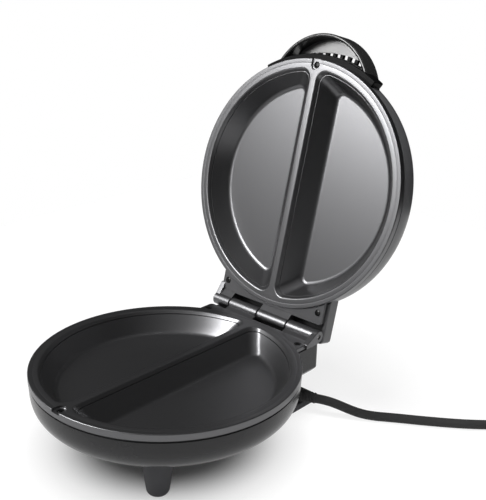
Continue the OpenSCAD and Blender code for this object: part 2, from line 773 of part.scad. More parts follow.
module plug_fuse_cover() color([0.75, 0.1, 0.1])
    translate([coil_out.x - 7.5, pin_row_y - 4.9, plug_t - 4 + fit_gap]) cube([15, 9.8, 4.2]);

// Handle and lamps on the lid

handle_mid_y = -(plate_r + handle_reach - handle_r);
collar_r = plate_r + collar_out;
handle_top = -handle_low - handle_h;

// The handle's screws sit against the bowl's inner face; their heads touch it at the lower, outer edge
handle_screw_drop = 9;
handle_screw_z = edge_z - handle_screw_drop;
handle_seat_r = bowl_radius_at(handle_screw_drop + head_r, bowl_r - wall, bowl_depth - wall);
handle_seat_y = 0.1 - sqrt(pow(handle_seat_r, 2) - pow(handle_screw_x + head_r, 2));
module handle_screw_bores() for (x = [-handle_screw_x, handle_screw_x])
    translate([x, handle_seat_y + 1, handle_screw_z]) rotate([90, 0, 0])
        cylinder(h = short_screw + 1.2, r = screw_r + fit_gap);

// The sector of the plan within the collar's half angle
module front_sector(half, r) polygon([[0, 0], [-r * sin(half), -r * cos(half)], [0, -r / cos(half / 2)],
    [r * sin(half), -r * cos(half)]]);

module crescent_plan() difference() {
    translate([0, handle_mid_y]) circle(r = handle_r);
    circle(r = vent_r);
}

module handle_plan() difference() {
    translate([0, handle_mid_y]) circle(r = handle_r);
    circle(r = plate_r - 14);
}

// The vent ribs stand between the two points where the grip's circle meets the slots' outer edge
vent_r = collar_r + vent_w;
vent_meet = acos((pow(vent_r, 2) - pow(handle_r, 2) - pow(handle_mid_y, 2)) / (-2 * handle_r * handle_mid_y));
vent_half = atan2(handle_r * sin(vent_meet), handle_r * cos(vent_meet) - handle_mid_y);
vent_angle = vent_pitch / (collar_r + vent_w / 2) * 180 / PI;
vent_count = floor(vent_half / vent_angle);

module handle() color(black) lid_half() difference() {
    union() {
        // collar on the bowl
        translate([0, 0, edge_z - 14]) linear_extrude(13.4) intersection() {
            difference() {
                circle(r = collar_r);
                circle(r = bowl_r * 0.9);
            }
            front_sector(collar_angle, 1.3 * plate_r);
        }
        // outer wall and top skin of the hollow grip
        translate([0, 0, handle_top]) linear_extrude(handle_h) difference() {
            handle_plan();
            translate([0, handle_mid_y]) circle(r = handle_r - handle_t);
        }
        translate([0, 0, handle_top]) linear_extrude(handle_t) crescent_plan();
        // ribs across the vent slots
        intersection() {
            for (i = [-vent_count:vent_count]) rotate([0, 0, -90 + i * vent_angle])
                translate([bowl_r * 0.9, -vent_rib / 2, handle_top])
                    cube([vent_r + 2 - bowl_r * 0.9, vent_rib, handle_t + 4]);
            translate([0, 0, handle_top]) linear_extrude(handle_h) handle_plan();
        }
    }
    bowl_body(-seat_gap, 0);
    handle_screw_bores();
}

module handle_screws() color(steel) lid_half() for (x = [-handle_screw_x, handle_screw_x])
    translate([x, handle_seat_y, handle_screw_z]) rotate([-90, 0, 0]) screw(short_screw);

holder_z = edge_z - bowl_depth + wall + 4.5;
holder_screw_x = [-holder_w * 0.4, holder_w * 0.4];
lens_top = edge_z - bowl_depth_at(norm([lens_x, lens_front]), bowl_r, bowl_depth);

module lens(side) lid_half() translate([side * lens_x, -lens_front, lens_top - 1.2]) {
    cylinder(h = holder_z - fit_gap - lens_top + 1.2, r = lens_r);
    difference() {
        sphere(r = lens_r);
        translate([0, 0, -lens_r - 1.2]) cube(2 * lens_r, center = true);
    }
}

module power_lens() color([0.8, 0.1, 0.08]) lens(-1);

module ready_lens() color([0.1, 0.7, 0.15]) lens(1);

module lamp_holder() color([0.85, 0.83, 0.75]) lid_half()
    translate([0, -lens_front, holder_z]) {
        linear_extrude(1.6) round_rect(-holder_w / 2, holder_w / 2, -2 * lens_r, 2 * lens_r, 2);
        for (x = holder_screw_x) translate([x, 0, 1.6]) cylinder(h = head_h, r = head_r);
    }

base_housing();
front_foot_left();
front_foot_right();
rear_foot();
rear_foot_screws();
base_rim_seal();
base_plate();
base_plate_screws();
base_element();
base_element_clips();
base_heat_shield();
base_shield_screws();
thermostat();
thermal_fuse();
terminal_block();
cord_clamp();
strain_relief();
hinge_pin();
power_cord();
cord_coil();
cord_tie();
plug_body();
plug_pins();
plug_fuse_cover();
lid_housing();
lid_rim_seal();
lid_plate();
lid_plate_screws();
lid_element();
lid_element_clips();
lid_heat_shield();
lid_shield_screws();
handle();
handle_screws();
power_lens();
ready_lens();
lamp_holder();
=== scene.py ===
"""Looks of an electric omelette maker that stands open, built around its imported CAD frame.

Forms are drawn in millimetres. Those of a half are drawn in that half's own frame, where the middle
of its plate is the origin and Z falls from the closing face into the bowl; Half.place brings them
into the row frame in metres. Everything else is drawn in the row frame.
"""

import logging
import math
from contextlib import contextmanager
from dataclasses import dataclass, field
from enum import Enum
from typing import Callable, Iterator, Sequence

import bmesh
import bpy
from mathutils import Matrix, Vector


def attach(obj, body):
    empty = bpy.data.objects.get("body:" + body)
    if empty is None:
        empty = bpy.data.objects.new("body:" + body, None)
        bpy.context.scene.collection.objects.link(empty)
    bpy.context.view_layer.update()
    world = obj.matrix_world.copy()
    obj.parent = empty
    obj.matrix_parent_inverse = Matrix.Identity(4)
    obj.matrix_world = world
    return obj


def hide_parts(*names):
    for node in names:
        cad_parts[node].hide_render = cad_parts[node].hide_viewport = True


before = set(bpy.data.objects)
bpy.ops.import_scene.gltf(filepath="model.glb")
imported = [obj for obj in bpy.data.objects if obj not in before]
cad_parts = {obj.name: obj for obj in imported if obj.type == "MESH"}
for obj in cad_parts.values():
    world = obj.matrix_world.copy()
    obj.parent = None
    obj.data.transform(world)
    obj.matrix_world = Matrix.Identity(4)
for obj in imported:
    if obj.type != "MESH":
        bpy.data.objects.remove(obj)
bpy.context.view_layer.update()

LOG = logging.getLogger("omelette_maker")
Point2 = tuple[float, float]
Point3 = tuple[float, float, float]
Colour = tuple[float, float, float]
Form = bpy.types.Object
Socket = bpy.types.NodeSocket

MILLIMETRES = Matrix.Scale(0.001, 4)
HINGE_BACK = 120.0
HINGE_Z = 71.0
LID_OPEN = 104.0
Z_TO_X = Matrix.Rotation(math.radians(90), 4, "Y")
BARREL_PLACE = Matrix.Translation((0, HINGE_BACK, 0)) @ Z_TO_X
PLATE_SCREWS: tuple[Point2, ...] = ((0.0, -103.0), (-52.0, 101.0), (52.0, 101.0))
SCREW_RECESS = 1.7
WHITE = (1, 1, 1, 1)


class Half(Enum):
    """The two halves, which share one plate and one bowl shape."""

    BASE = "base"
    LID = "lid"

    @property
    def place(self) -> Matrix:
        """Matrix from the half's frame in millimetres to the row frame in metres."""
        slide = Matrix.Translation((0, -HINGE_BACK, 0))
        lift = Matrix.Translation((0, 0, HINGE_Z))
        if self is Half.BASE:
            return MILLIMETRES @ lift @ slide
        turn = Matrix.Rotation(math.radians(-LID_OPEN), 4, "X")
        return MILLIMETRES @ lift @ turn @ Matrix.Scale(-1, 4, (0, 0, 1)) @ slide


class Join(Enum):
    """What a second form does to the first."""

    ADD = "UNION"
    CUT = "DIFFERENCE"
    KEEP_COMMON = "INTERSECT"


# Finishes


class Wiring:
    """A node tree that is being wired."""

    def __init__(self, tree: bpy.types.NodeTree) -> None:
        """Takes the tree to add to."""
        self.tree = tree

    def add(self, kind: str, inputs: dict | None = None, **settings: object) -> bpy.types.Node:
        """Adds a node.

        Args:
            kind: Blender's name of the node type.
            inputs: values or sockets, by the input's name or number.
            settings: the node's own properties.

        Returns:
            The new node.
        """
        node = self.tree.nodes.new(kind)
        for key, value in settings.items():
            setattr(node, key, value)
        for key, value in (inputs or {}).items():
            if isinstance(value, Socket):
                self.tree.links.new(value, node.inputs[key])
            else:
                node.inputs[key].default_value = value
        return node

    def math(self, operation: str, first: object, second: object = 0.0) -> Socket:
        """Adds a calculation and returns its result."""
        return self.add("ShaderNodeMath", {0: first, 1: second}, operation=operation).outputs[0]

    def noise(self, place: Socket, scale: float, detail: float,
              roughness: float) -> Socket:
        """Adds a noise texture and returns its height."""
        return self.add("ShaderNodeTexNoise", {
            "Vector": place, "Scale": scale, "Detail": detail, "Roughness": roughness}).outputs["Fac"]

    def ranged(self, value: Socket, source: Point2, target: Point2,
               **settings: object) -> Socket:
        """Maps a value from the source's range to the target's, and returns the result."""
        return self.add("ShaderNodeMapRange", {
            "Value": value, "From Min": source[0], "From Max": source[1],
            "To Min": target[0], "To Max": target[1]}, **settings).outputs["Result"]

    def mixed(self, share: Socket, first: object, second: object) -> Socket:
        """Mixes two colours by a share and returns the result."""
        return self.add("ShaderNodeMix", {0: share, 6: first, 7: second}, data_type="RGBA").outputs[2]


@dataclass(frozen=True)
class Finish:
    """A surface with its colour, gloss and fine texture; lengths are in metres."""

    name: str
    colour: Colour
    roughness: float
    metallic: float = 0.0
    coat: float = 0.0
    coat_roughness: float = 0.05
    specular: float = 0.5
    mottle: float = 0.08
    mottle_size: float = 0.03
    grain: float = 0.0006
    grain_depth: float = 0.00002
    gloss_change: float = 0.06
    stretch: Point3 = (1.0, 1.0, 1.0)

    def shade(self, share: float) -> tuple[float, float, float, float]:
        """Returns the finish's colour times share, with alpha."""
        return (*(min(1.0, c * share) for c in self.colour), 1.0)

    def detail(self, wiring: Wiring, place: Socket) -> Socket:
        """Adds the fine texture's height.

        Args:
            wiring: the material's tree.
            place: object coordinates.

        Returns:
            The height's socket, from 0 to 1.
        """
        return wiring.noise(place, 1 / self.grain, 3.0, 0.55)

    def tint(self, wiring: Wiring, place: Socket) -> Socket:
        """Adds the colour, which changes slowly over the surface, and returns its socket."""
        patches = wiring.noise(place, 1 / self.mottle_size, 4.0, 0.6)
        return wiring.mixed(patches, self.shade(1 - self.mottle), self.shade(1 + self.mottle))

    def material(self) -> bpy.types.Material:
        """Returns the finish as a material, made once."""
        made = bpy.data.materials.get(self.name)
        if made is not None:
            return made
        made = bpy.data.materials.new(self.name)
        made.use_nodes = True
        made.diffuse_color = self.shade(1)
        made.node_tree.nodes.clear()
        wiring = Wiring(made.node_tree)
        coordinates = wiring.add("ShaderNodeTexCoord")
        mapping = wiring.add("ShaderNodeMapping", {
            "Vector": coordinates.outputs["Object"], "Scale": self.stretch})
        place = mapping.outputs["Vector"]
        bump = wiring.add("ShaderNodeBump", {
            "Height": self.detail(wiring, place), "Strength": 1.0, "Distance": self.grain_depth})
        smears = wiring.noise(place, 0.4 / self.mottle_size, 5.0, 0.65)
        gloss = wiring.ranged(smears, (0.3, 0.7), (max(0.02, self.roughness - self.gloss_change),
                                                   min(1.0, self.roughness + self.gloss_change)))
        shader = wiring.add("ShaderNodeBsdfPrincipled", {
            "Base Color": self.tint(wiring, place), "Roughness": gloss,
            "Metallic": self.metallic, "Specular IOR Level": self.specular, "Coat Weight": self.coat,
            "Coat Roughness": self.coat_roughness, "Normal": bump.outputs["Normal"]})
        self.extend(shader)
        output = wiring.add("ShaderNodeOutputMaterial")
        made.node_tree.links.new(shader.outputs["BSDF"], output.inputs["Surface"])
        return made

    def extend(self, shader: bpy.types.Node) -> None:
        """Sets what a kind of finish adds to the shader; a plain one adds nothing."""


@dataclass(frozen=True)
class Speckled(Finish):
    """A sprayed coating with fine paler specks and an orange-peel surface."""

    speck: float = 0.0011
    speck_share: float = 1.35
    speck_edge: Point2 = (0.12, 0.3)

    def tint(self, wiring: Wiring, place: Socket) -> Socket:
        """Adds the colour with its specks, and returns its socket."""
        ground = super().tint(wiring, place)
        cells = wiring.add("ShaderNodeTexVoronoi", {
            "Vector": place, "Scale": 1 / self.speck, "Randomness": 1.0})
        dots = wiring.ranged(cells.outputs["Distance"], self.speck_edge, (1.0, 0.0))
        return wiring.mixed(dots, ground, self.shade(self.speck_share))


@dataclass(frozen=True)
class Woven(Finish):
    """A strap's weave of crossing ribs."""

    rib: float = 0.0009

    def detail(self, wiring: Wiring, place: Socket) -> Socket:
        """Adds the weave's height, and returns its socket."""
        waves = [wiring.add("ShaderNodeTexWave", {
            "Vector": place, "Scale": 0.16 / self.rib, "Distortion": 0.4},
            wave_type="BANDS", bands_direction=way) for way in ("X", "Z")]
        return wiring.math("MULTIPLY", waves[0].outputs["Fac"], waves[1].outputs["Fac"])


@dataclass(frozen=True)
class Lamp(Finish):
    """Clear coloured plastic in front of a small lamp that is off."""

    through: float = 0.35
    refraction: float = 1.49

    def extend(self, shader: bpy.types.Node) -> None:
        """Lets some light through the lens."""
        shader.inputs["Transmission Weight"].default_value = self.through
        shader.inputs["IOR"].default_value = self.refraction


# Plastic of the base's housing: the same plastic as the lid's, painted darker to stand for the shade on
# the base's bowl.
BASE_SHELL_PAINTED_SHADE = Finish("shell_plastic", (0.013, 0.013, 0.014), 0.24, specular=0.33, mottle=0.05,
               gloss_change=0.04)
# The lid's copy of the housing plastic, painted lighter to stand for the light falling on the lid's side:
# painted light.
LID_SHELL_PAINTED_LIGHT = Finish("lid_shell_plastic_painted_light", (0.075, 0.075, 0.078), 0.34, mottle=0.05)
COATING = Speckled("plate_coating", (0.25, 0.25, 0.257), 0.29, metallic=1.0, grain=0.0011,
                   grain_depth=0.00003, gloss_change=0.04)
GLOSS = Finish("handle_gloss", (0.006, 0.006, 0.0065), 0.24, specular=0.2, mottle=0.04, grain=0.002,
               grain_depth=0.000008, gloss_change=0.04)
# The handle's inner skin: the grip's black plastic painted lighter and given strong gloss, a painted
# sheen.
SKIN_PAINTED_SHEEN = Finish("handle_skin", (0.035, 0.035, 0.036), 0.36, specular=0.9, mottle=0.04,
              gloss_change=0.04)
# The collar and ribs: the grip's black plastic with its gloss nearly taken away so that it stays black,
# painted shade.
COLLAR_PAINTED_SHADE = Finish("collar_plastic_painted_shade", (0.004, 0.004, 0.0042), 0.34, specular=0.04, mottle=0.05,
                gloss_change=0.05)
FOOT = Finish("foot_plastic", (0.007, 0.007, 0.0075), 0.3, specular=0.25, mottle=0.05,
              gloss_change=0.05)
SEAL = Finish("seal_rubber", (0.004, 0.004, 0.004), 0.7, specular=0.1, mottle=0.06, grain=0.0008)
CORD = Finish("cord_rubber", (0.006, 0.006, 0.0065), 0.38, specular=0.25, mottle=0.06, grain=0.0007)
PLUG = Finish("plug_plastic", (0.016, 0.016, 0.017), 0.36, mottle=0.06, grain=0.0009)
STRAP = Woven("tie_strap", (0.03, 0.03, 0.032), 0.6, grain_depth=0.0001)
STEEL = Finish("screw_steel", (0.55, 0.54, 0.52), 0.28, metallic=1.0, mottle=0.1, mottle_size=0.004,
               grain=0.0004, grain_depth=0.000006, stretch=(1.0, 1.0, 6.0))
SCREW = Finish("plate_screw_steel", (0.03, 0.03, 0.03), 0.42, metallic=0.9, mottle=0.1, mottle_size=0.004)
TUBE = Finish("element_steel", (0.3, 0.28, 0.25), 0.42, metallic=1.0, mottle=0.25, mottle_size=0.01)
ALUMINIUM = Finish("shield_aluminium", (0.75, 0.75, 0.76), 0.35, metallic=1.0, mottle=0.06,
                   grain=0.0005, grain_depth=0.00001, stretch=(1.0, 12.0, 1.0))
CERAMIC = Finish("control_ceramic", (0.72, 0.68, 0.58), 0.5, mottle=0.05, mottle_size=0.006)
BRASS = Finish("pin_brass", (0.8, 0.58, 0.24), 0.26, metallic=1.0, mottle=0.06, mottle_size=0.006,
               grain=0.0004, grain_depth=0.000006, stretch=(1.0, 1.0, 5.0))
FUSE_COVER = Finish("fuse_cover_plastic", (0.35, 0.02, 0.02), 0.35, mottle=0.06)
RED_LENS = Lamp("lens_red", (0.45, 0.015, 0.012), 0.08, coat=0.4)
GREEN_LENS = Lamp("lens_green", (0.02, 0.3, 0.04), 0.08, coat=0.4)


# Making forms in millimetres


def linked(name: str, data: bpy.types.ID) -> Form:
    """Makes an object of some data, links it to the scene and returns it."""
    made = bpy.data.objects.new(name, data)
    bpy.context.scene.collection.objects.link(made)
    return made


@contextmanager
def editing(mesh: bpy.types.Mesh) -> Iterator[bmesh.types.BMesh]:
    """Opens a mesh for editing and writes it back."""
    work = bmesh.new()
    work.from_mesh(mesh)
    yield work
    work.to_mesh(mesh)
    work.free()


def solid(name: str, points: Sequence[Point3], faces: Sequence[Sequence[int]]) -> Form:
    """Makes a closed form with its faces outwards.

    Args:
        name: the form's name.
        points: its corners.
        faces: the corners of each face.

    Returns:
        The form, linked to the scene.
    """
    mesh = bpy.data.meshes.new(name)
    mesh.from_pydata(points, [], faces)
    with editing(mesh) as work:
        bmesh.ops.recalc_face_normals(work, faces=work.faces)
    return linked(name, mesh)


def lathe(name: str, outline: Sequence[Point2], segments: int, closed: bool = False) -> Form:
    """Turns an outline of (radius, height) about Z; points of no radius are poles.

    Args:
        name: the form's name.
        outline: the points in order.
        segments: number of steps round the axis.
        closed: whether the last point joins the first, as in a ring.

    Returns:
        The turned form.
    """
    points, rings = [], []
    for radius, height in outline:
        steps = 1 if radius < 1e-6 else segments
        rings.append(range(len(points), len(points) + steps))
        points += [(radius * math.cos(math.tau * i / segments), radius * math.sin(math.tau * i / segments),
                    height) for i in range(steps)]
    faces = []
    for low, high in zip(rings, [*rings[1:], *([rings[0]] if closed else [])]):
        for i in range(segments):
            j = (i + 1) % segments
            face = tuple(dict.fromkeys((low[i % len(low)], low[j % len(low)],
                                        high[j % len(high)], high[i % len(high)])))
            if len(face) > 2:
                faces.append(face)
    return solid(name, points, faces)


def rod(radius: float, start: float, end: float, segments: int = 40) -> Form:
    """Makes a plain round rod about Z, for cutting."""
    return lathe("rod", [(0, start), (radius, start), (radius, end), (0, end)], segments)


def loft(name: str, rings: Sequence[Sequence[Point3]]) -> Form:
    """Skins a stack of rings that have the same number of points, and closes both ends."""
    count = len(rings[0])
    faces = [tuple(range(count)), tuple(range((len(rings) - 1) * count, len(rings) * count))]
    for level in range(len(rings) - 1):
        for i in range(count):
            j = (i + 1) % count
            faces.append((level * count + i, level * count + j,
                          (level + 1) * count + j, (level + 1) * count + i))
    return solid(name, [point for ring in rings for point in ring], faces)


def prism(name: str, outline: Sequence[Point2], low: float, high: float) -> Form:
    """Raises a plan outline from low to high."""
    return loft(name, [[(x, y, z) for x, y in outline] for z in (low, high)])


def along_x(name: str, outline: Sequence[Point2], start: float, end: float) -> Form:
    """Draws an outline in Y and Z out along X."""
    return loft(name, [[(x, y, z) for y, z in outline] for x in (start, end)])


def along_y(name: str, outline: Sequence[Point2], start: float, end: float) -> Form:
    """Draws an outline in X and Z out along Y."""
    return loft(name, [[(x, y, z) for x, z in outline] for y in (start, end)])


def box(name: str, low: Point3, high: Point3) -> Form:
    """Makes a block between two corners, for cutting."""
    corners = [(low[0], low[1]), (high[0], low[1]), (high[0], high[1]), (low[0], high[1])]
    return prism(name, corners, low[2], high[2])


def polar(radius: float, angle: float) -> Point2:
    """Returns the point at a radius and an angle in degrees."""
    return radius * math.cos(math.radians(angle)), radius * math.sin(math.radians(angle))


def arc(centre: Point2, radius: float, start: float, end: float, steps: int) -> list[Point2]:
    """Returns points on an arc, both ends included; angles are in degrees."""
    points = (polar(radius, start + (end - start) * i / steps) for i in range(steps + 1))
    return [(centre[0] + x, centre[1] + y) for x, y in points]


def round_rect(x1: float, x2: float, y1: float, y2: float, corner: float, steps: int = 8) -> list[Point2]:
    """Returns a rectangle's outline with round corners."""
    return [point for centre, start in (
        ((x2 - corner, y2 - corner), 0), ((x1 + corner, y2 - corner), 90),
        ((x1 + corner, y1 + corner), 180), ((x2 - corner, y1 + corner), 270))
        for point in arc(centre, corner, start, start + 90, steps)]


def baked(form: Form) -> Form:
    """Turns a form's modifiers into its mesh, and returns the form."""
    bpy.context.view_layer.update()
    graph = bpy.context.evaluated_depsgraph_get()
    mesh = bpy.data.meshes.new_from_object(form.evaluated_get(graph))
    old = form.data
    form.modifiers.clear()
    form.data = mesh
    bpy.data.meshes.remove(old)
    return form


def discard(form: Form) -> None:
    """Removes a helper form and its mesh."""
    mesh = form.data
    bpy.data.objects.remove(form)
    bpy.data.meshes.remove(mesh)


def combined(form: Form, how: Join, *others: Form) -> Form:
    """Joins, cuts or intersects a form with others, which are used up.

    Args:
        form: the form that is kept.
        how: what the others do to it.
        others: the forms to use.

    Returns:
        The form.
    """
    for other in others:
        modifier = form.modifiers.new(how.name, "BOOLEAN")
        modifier.operation = how.value
        modifier.object = other
        modifier.solver = "EXACT"
    baked(form)
    for other in others:
        discard(other)
    return form


def rounded(form: Form, width: float, steps: int = 3, angle: float = 35.0,
            where: Callable[[Vector], bool] = lambda middle: True) -> Form:
    """Rounds a form's sharp edges.

    Args:
        form: the form.
        width: how far the rounding reaches from the edge.
        steps: faces across the rounding.
        angle: least angle between faces, in degrees.
        where: says for an edge's middle whether that edge is rounded.

    Returns:
        The form.
    """
    with editing(form.data) as work:
        edges = [e for e in work.edges if len(e.link_faces) == 2
                 and e.calc_face_angle(0.0) > math.radians(angle)
                 and where((e.verts[0].co + e.verts[1].co) / 2)]
        bmesh.ops.bevel(work, geom=edges, offset=width, offset_type="OFFSET", segments=steps,
                        profile=0.5, affect="EDGES", clamp_overlap=True)
    return form


def moved(form: Form, place: Matrix) -> Form:
    """Moves a form's mesh, keeps its faces outwards, and returns the form."""
    form.data.transform(place)
    if place.determinant() < 0:
        form.data.flip_normals()
    return form


def deliver(form: Form, name: str, place: Matrix, body: str, finish: Finish,
            replaces: Sequence[str] = (), smooth: float = 38.0) -> Form:
    """Puts a form in its place in the row frame, dresses it and gives it to its body.

    Args:
        form: the form in millimetres.
        name: the piece's name.
        place: matrix to the row frame in metres.
        body: the CAD body that it rides on.
        finish: its surface.
        replaces: the CAD nodes that it stands for.
        smooth: angle in degrees up to which edges are shaded smooth.

    Returns:
        The piece.
    """
    with editing(form.data) as work:
        bmesh.ops.remove_doubles(work, verts=work.verts, dist=0.002)
        bmesh.ops.dissolve_degenerate(work, edges=work.edges, dist=0.001)
    moved(form, place)
    form.data.polygons.foreach_set("use_smooth", [True] * len(form.data.polygons))
    form.data.set_sharp_from_angle(angle=math.radians(smooth))
    weights = form.modifiers.new("even_shading", "WEIGHTED_NORMAL")
    weights.keep_sharp = True
    baked(form)
    form.name = form.data.name = name
    form.data.materials.clear()
    form.data.materials.append(finish.material())
    form.data.polygons.foreach_set("material_index", [0] * len(form.data.polygons))
    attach(form, body)
    if replaces:
        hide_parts(*replaces)
    LOG.info("%s: %d faces on %s", name, len(form.data.polygons), body)
    return form


# Repeats, made by geometry nodes


class Repeat:
    """A geometry node tree that sets copies of one form in a pattern."""

    def __init__(self, name: str, sizes: dict[str, str]) -> None:
        """Starts the tree.

        Args:
            name: the tree's name.
            sizes: the named inputs and their socket types.
        """
        self.tree = bpy.data.node_groups.new(name, "GeometryNodeTree")
        face = self.tree.interface
        face.new_socket("Geometry", in_out="OUTPUT", socket_type="NodeSocketGeometry")
        face.new_socket("Geometry", in_out="INPUT", socket_type="NodeSocketGeometry")
        for label, kind in {**sizes, "Form": "NodeSocketObject", "Finish": "NodeSocketMaterial"}.items():
            face.new_socket(label, in_out="INPUT", socket_type=kind)
        self.wiring = Wiring(self.tree)
        self.inputs = self.wiring.add("NodeGroupInput").outputs

    def close(self, points: Socket, turn: object = (0.0, 0.0, 0.0),
              scale: object = (1.0, 1.0, 1.0)) -> None:
        """Sets the form on the points and makes the copies real."""
        form = self.wiring.add("GeometryNodeObjectInfo", {"Object": self.inputs["Form"]})
        copies = self.wiring.add("GeometryNodeInstanceOnPoints", {
            "Points": points, "Instance": form.outputs["Geometry"], "Rotation": turn, "Scale": scale})
        real = self.wiring.add("GeometryNodeRealizeInstances", {"Geometry": copies.outputs["Instances"]})
        dressed = self.wiring.add("GeometryNodeSetMaterial", {
            "Geometry": real.outputs["Geometry"], "Material": self.inputs["Finish"]})
        self.wiring.add("NodeGroupOutput", {"Geometry": dressed.outputs["Geometry"]})

    def build(self, name: str, form: Form, finish: Finish,
              points: Sequence[Point3] = (), **sizes: object) -> Form:
        """Repeats a form, which is used up.

        Args:
            name: the result's name.
            form: the form to repeat.
            finish: its surface.
            points: where copies go, in a tree that reads points.
            sizes: the tree's named inputs, with _ for a space.

        Returns:
            One plain mesh with all the copies.
        """
        mesh = bpy.data.meshes.new(name)
        mesh.from_pydata(points, [], [])
        result = linked(name, mesh)
        modifier = result.modifiers.new("repeat", "NODES")
        modifier.node_group = self.tree
        values = {**{key.replace("_", " "): value for key, value in sizes.items()},
                  "Form": form, "Finish": finish.material()}
        for item in self.tree.interface.items_tree:
            if item.in_out == "INPUT" and item.name in values:
                modifier[item.identifier] = values[item.name]
        baked(result)
        discard(form)
        return result


def arc_repeat() -> Repeat:
    """Returns a tree that sets copies round the origin, each turned to its angle."""
    tree = Repeat("copies_on_an_arc", {
        "Count": "NodeSocketInt", "First angle": "NodeSocketFloat", "Step angle": "NodeSocketFloat"})
    wiring, inputs = tree.wiring, tree.inputs
    index = wiring.add("GeometryNodeInputIndex").outputs[0]
    turned = wiring.math("MULTIPLY", index, inputs["Step angle"])
    angle = wiring.math("ADD", inputs["First angle"], turned)
    points = wiring.add("GeometryNodePoints", {"Count": inputs["Count"]})
    turn = wiring.add("ShaderNodeCombineXYZ", {"Z": angle})
    tree.close(points.outputs[0], turn.outputs[0])
    return tree


def row_repeat() -> Repeat:
    """Returns a tree that sets copies in a straight row, which may taper."""
    tree = Repeat("copies_in_a_row", {
        "Count": "NodeSocketInt", "Step": "NodeSocketVector", "Start": "NodeSocketVector",
        "Last scale": "NodeSocketFloat"})
    wiring, inputs = tree.wiring, tree.inputs
    index = wiring.add("GeometryNodeInputIndex").outputs[0]
    share = wiring.math("DIVIDE", index, wiring.math("SUBTRACT", inputs["Count"], 1.0))
    shrink = wiring.math("MULTIPLY", share, wiring.math("SUBTRACT", inputs["Last scale"], 1.0))
    scale = wiring.math("ADD", shrink, 1.0)
    step = wiring.add("ShaderNodeVectorMath", {0: inputs["Step"], "Scale": index}, operation="SCALE")
    place = wiring.add("ShaderNodeVectorMath", {0: inputs["Start"], 1: step.outputs[0]})
    points = wiring.add("GeometryNodePoints", {
        "Count": inputs["Count"], "Position": place.outputs[0]})
    size = wiring.add("ShaderNodeCombineXYZ", {"X": scale, "Y": scale, "Z": 1.0})
    tree.close(points.outputs[0], scale=size.outputs[0])
    return tree


def point_repeat() -> Repeat:
    """Returns a tree that sets a copy on each point of a mesh."""
    tree = Repeat("copies_on_points", {})
    tree.close(tree.inputs["Geometry"])
    return tree


# Sub-assemblies


@dataclass
class Shell:
    """The moulded housing of a half: a bowl, and a block or a cover behind it."""

    half: Half
    rim: float = 107.6
    depth: float = 38.0
    fullness: float = 3.6
    wall: float = 2.5
    edge: float = -6.0
    lip: float = -7.2
    block_half: float = 58.0
    block_drop: float = 31.0
    block_bevel: float = 8.0
    block_back: float = 123.607
    cover_half: float = 60.5
    cover_drop: float = 12.0
    cover_back: float = 127.5
    corner: float = 4.0
    inner_y: float = 64.56

    def curve(self, inset: float, start: float, steps: int = 56) -> list[Point2]:
        """Returns the bowl's outline from depth start down to the middle."""
        size, depth, power = self.rim - inset, self.depth - inset, self.fullness
        first = size * (1 - (start / depth) ** power) ** (1 / power)
        found = [(first, self.edge - start)]
        for i in range(1, steps):
            angle = math.radians(90 * i / steps)
            deep = depth * math.sin(angle) ** (2 / power)
            if deep > start + 0.5:
                found.append((size * math.cos(angle) ** (2 / power), self.edge - deep))
        return [*found, (0.0, self.edge - depth)]

    def bowl(self, inset: float, start: float, soft: float = 0.0) -> Form:
        """Makes the bowl as a solid whose lip is rounded by soft."""
        outline = self.curve(inset, start)
        top_r, top_z = outline[0]
        lip = [(0.0, top_z)]
        if soft:
            lip += [(top_r - soft, top_z), (top_r - soft * 0.3, top_z - soft * 0.3)]
            outline[0] = (top_r - 0.02, top_z - soft)
        return lathe("bowl", [*lip, *outline], 192)

    def block(self, inset: float, top: float) -> Form:
        """Makes the block at the back of the base, with bevelled lower sides."""
        half, back = self.block_half - inset, self.block_back - inset
        low = self.edge - self.block_drop + inset
        corner = self.corner - inset * 0.6
        plan = prism("block", round_rect(-half, half, self.inner_y, back, corner), low, top)
        bevel = self.block_bevel
        front = along_y("block_front", [
            (-half, top + 1), (-half, low + bevel), (-half + bevel, low), (half - bevel, low),
            (half, low + bevel), (half, top + 1)], self.inner_y - 5, back + 5)
        combined(plan, Join.KEEP_COMMON, front)
        if inset == 0:
            rounded(plan, 1.1, where=lambda middle: middle.z < top - 0.1)
        return plan

    def cover(self, inset: float) -> Form:
        """Makes the low cover at the back of the lid."""
        half, low = self.cover_half - inset, self.edge - self.cover_drop + inset
        outline = round_rect(-half, half, self.inner_y, self.cover_back - inset, self.corner - inset * 0.6)
        plan = prism("cover", outline, low, self.edge)
        if inset == 0:
            rounded(plan, 1.1)
            combined(plan, Join.CUT, rod(self.rim + 1, self.edge + 3, self.lip, 192))
        return plan

    def build(self) -> Form:
        """Makes the housing as a hollow shell and returns the piece."""
        form = self.bowl(0.0, self.edge - self.lip, soft=0.5)
        hollow = self.bowl(self.wall, 0.0)
        if self.half is Half.BASE:
            combined(form, Join.ADD, self.block(0.0, self.lip))
            combined(hollow, Join.ADD, self.block(self.wall, self.edge))
            finish, slot = BASE_SHELL_PAINTED_SHADE, "base_shell"
        else:
            combined(form, Join.ADD, self.cover(0.0))
            combined(hollow, Join.ADD, self.cover(self.wall))
            finish, slot = LID_SHELL_PAINTED_LIGHT, "lid_shell"
        combined(form, Join.CUT, hollow)
        name = self.half.value
        return deliver(form, f"{name}_shell", self.half.place, name, finish, [f"{name}_housing"])


@dataclass(frozen=True)
class HingeShare:
    """A half's share of the hinge barrel: spans along X, and where its webs and arm meet the barrel."""

    knuckles: tuple[Point2, ...]
    arm: Point2
    web_meets: Point2
    arm_rise: float


HINGE_SHARES = {
    Half.BASE: HingeShare(((-40.1, -7.4), (26.9, 60.0)), (55.0, 60.0), (0.97, -0.09), 0.8),
    Half.LID: HingeShare(((-60.0, -40.9), (-6.6, 26.1)), (-60.0, -55.0), (0.8, 0.45), 0.6)}


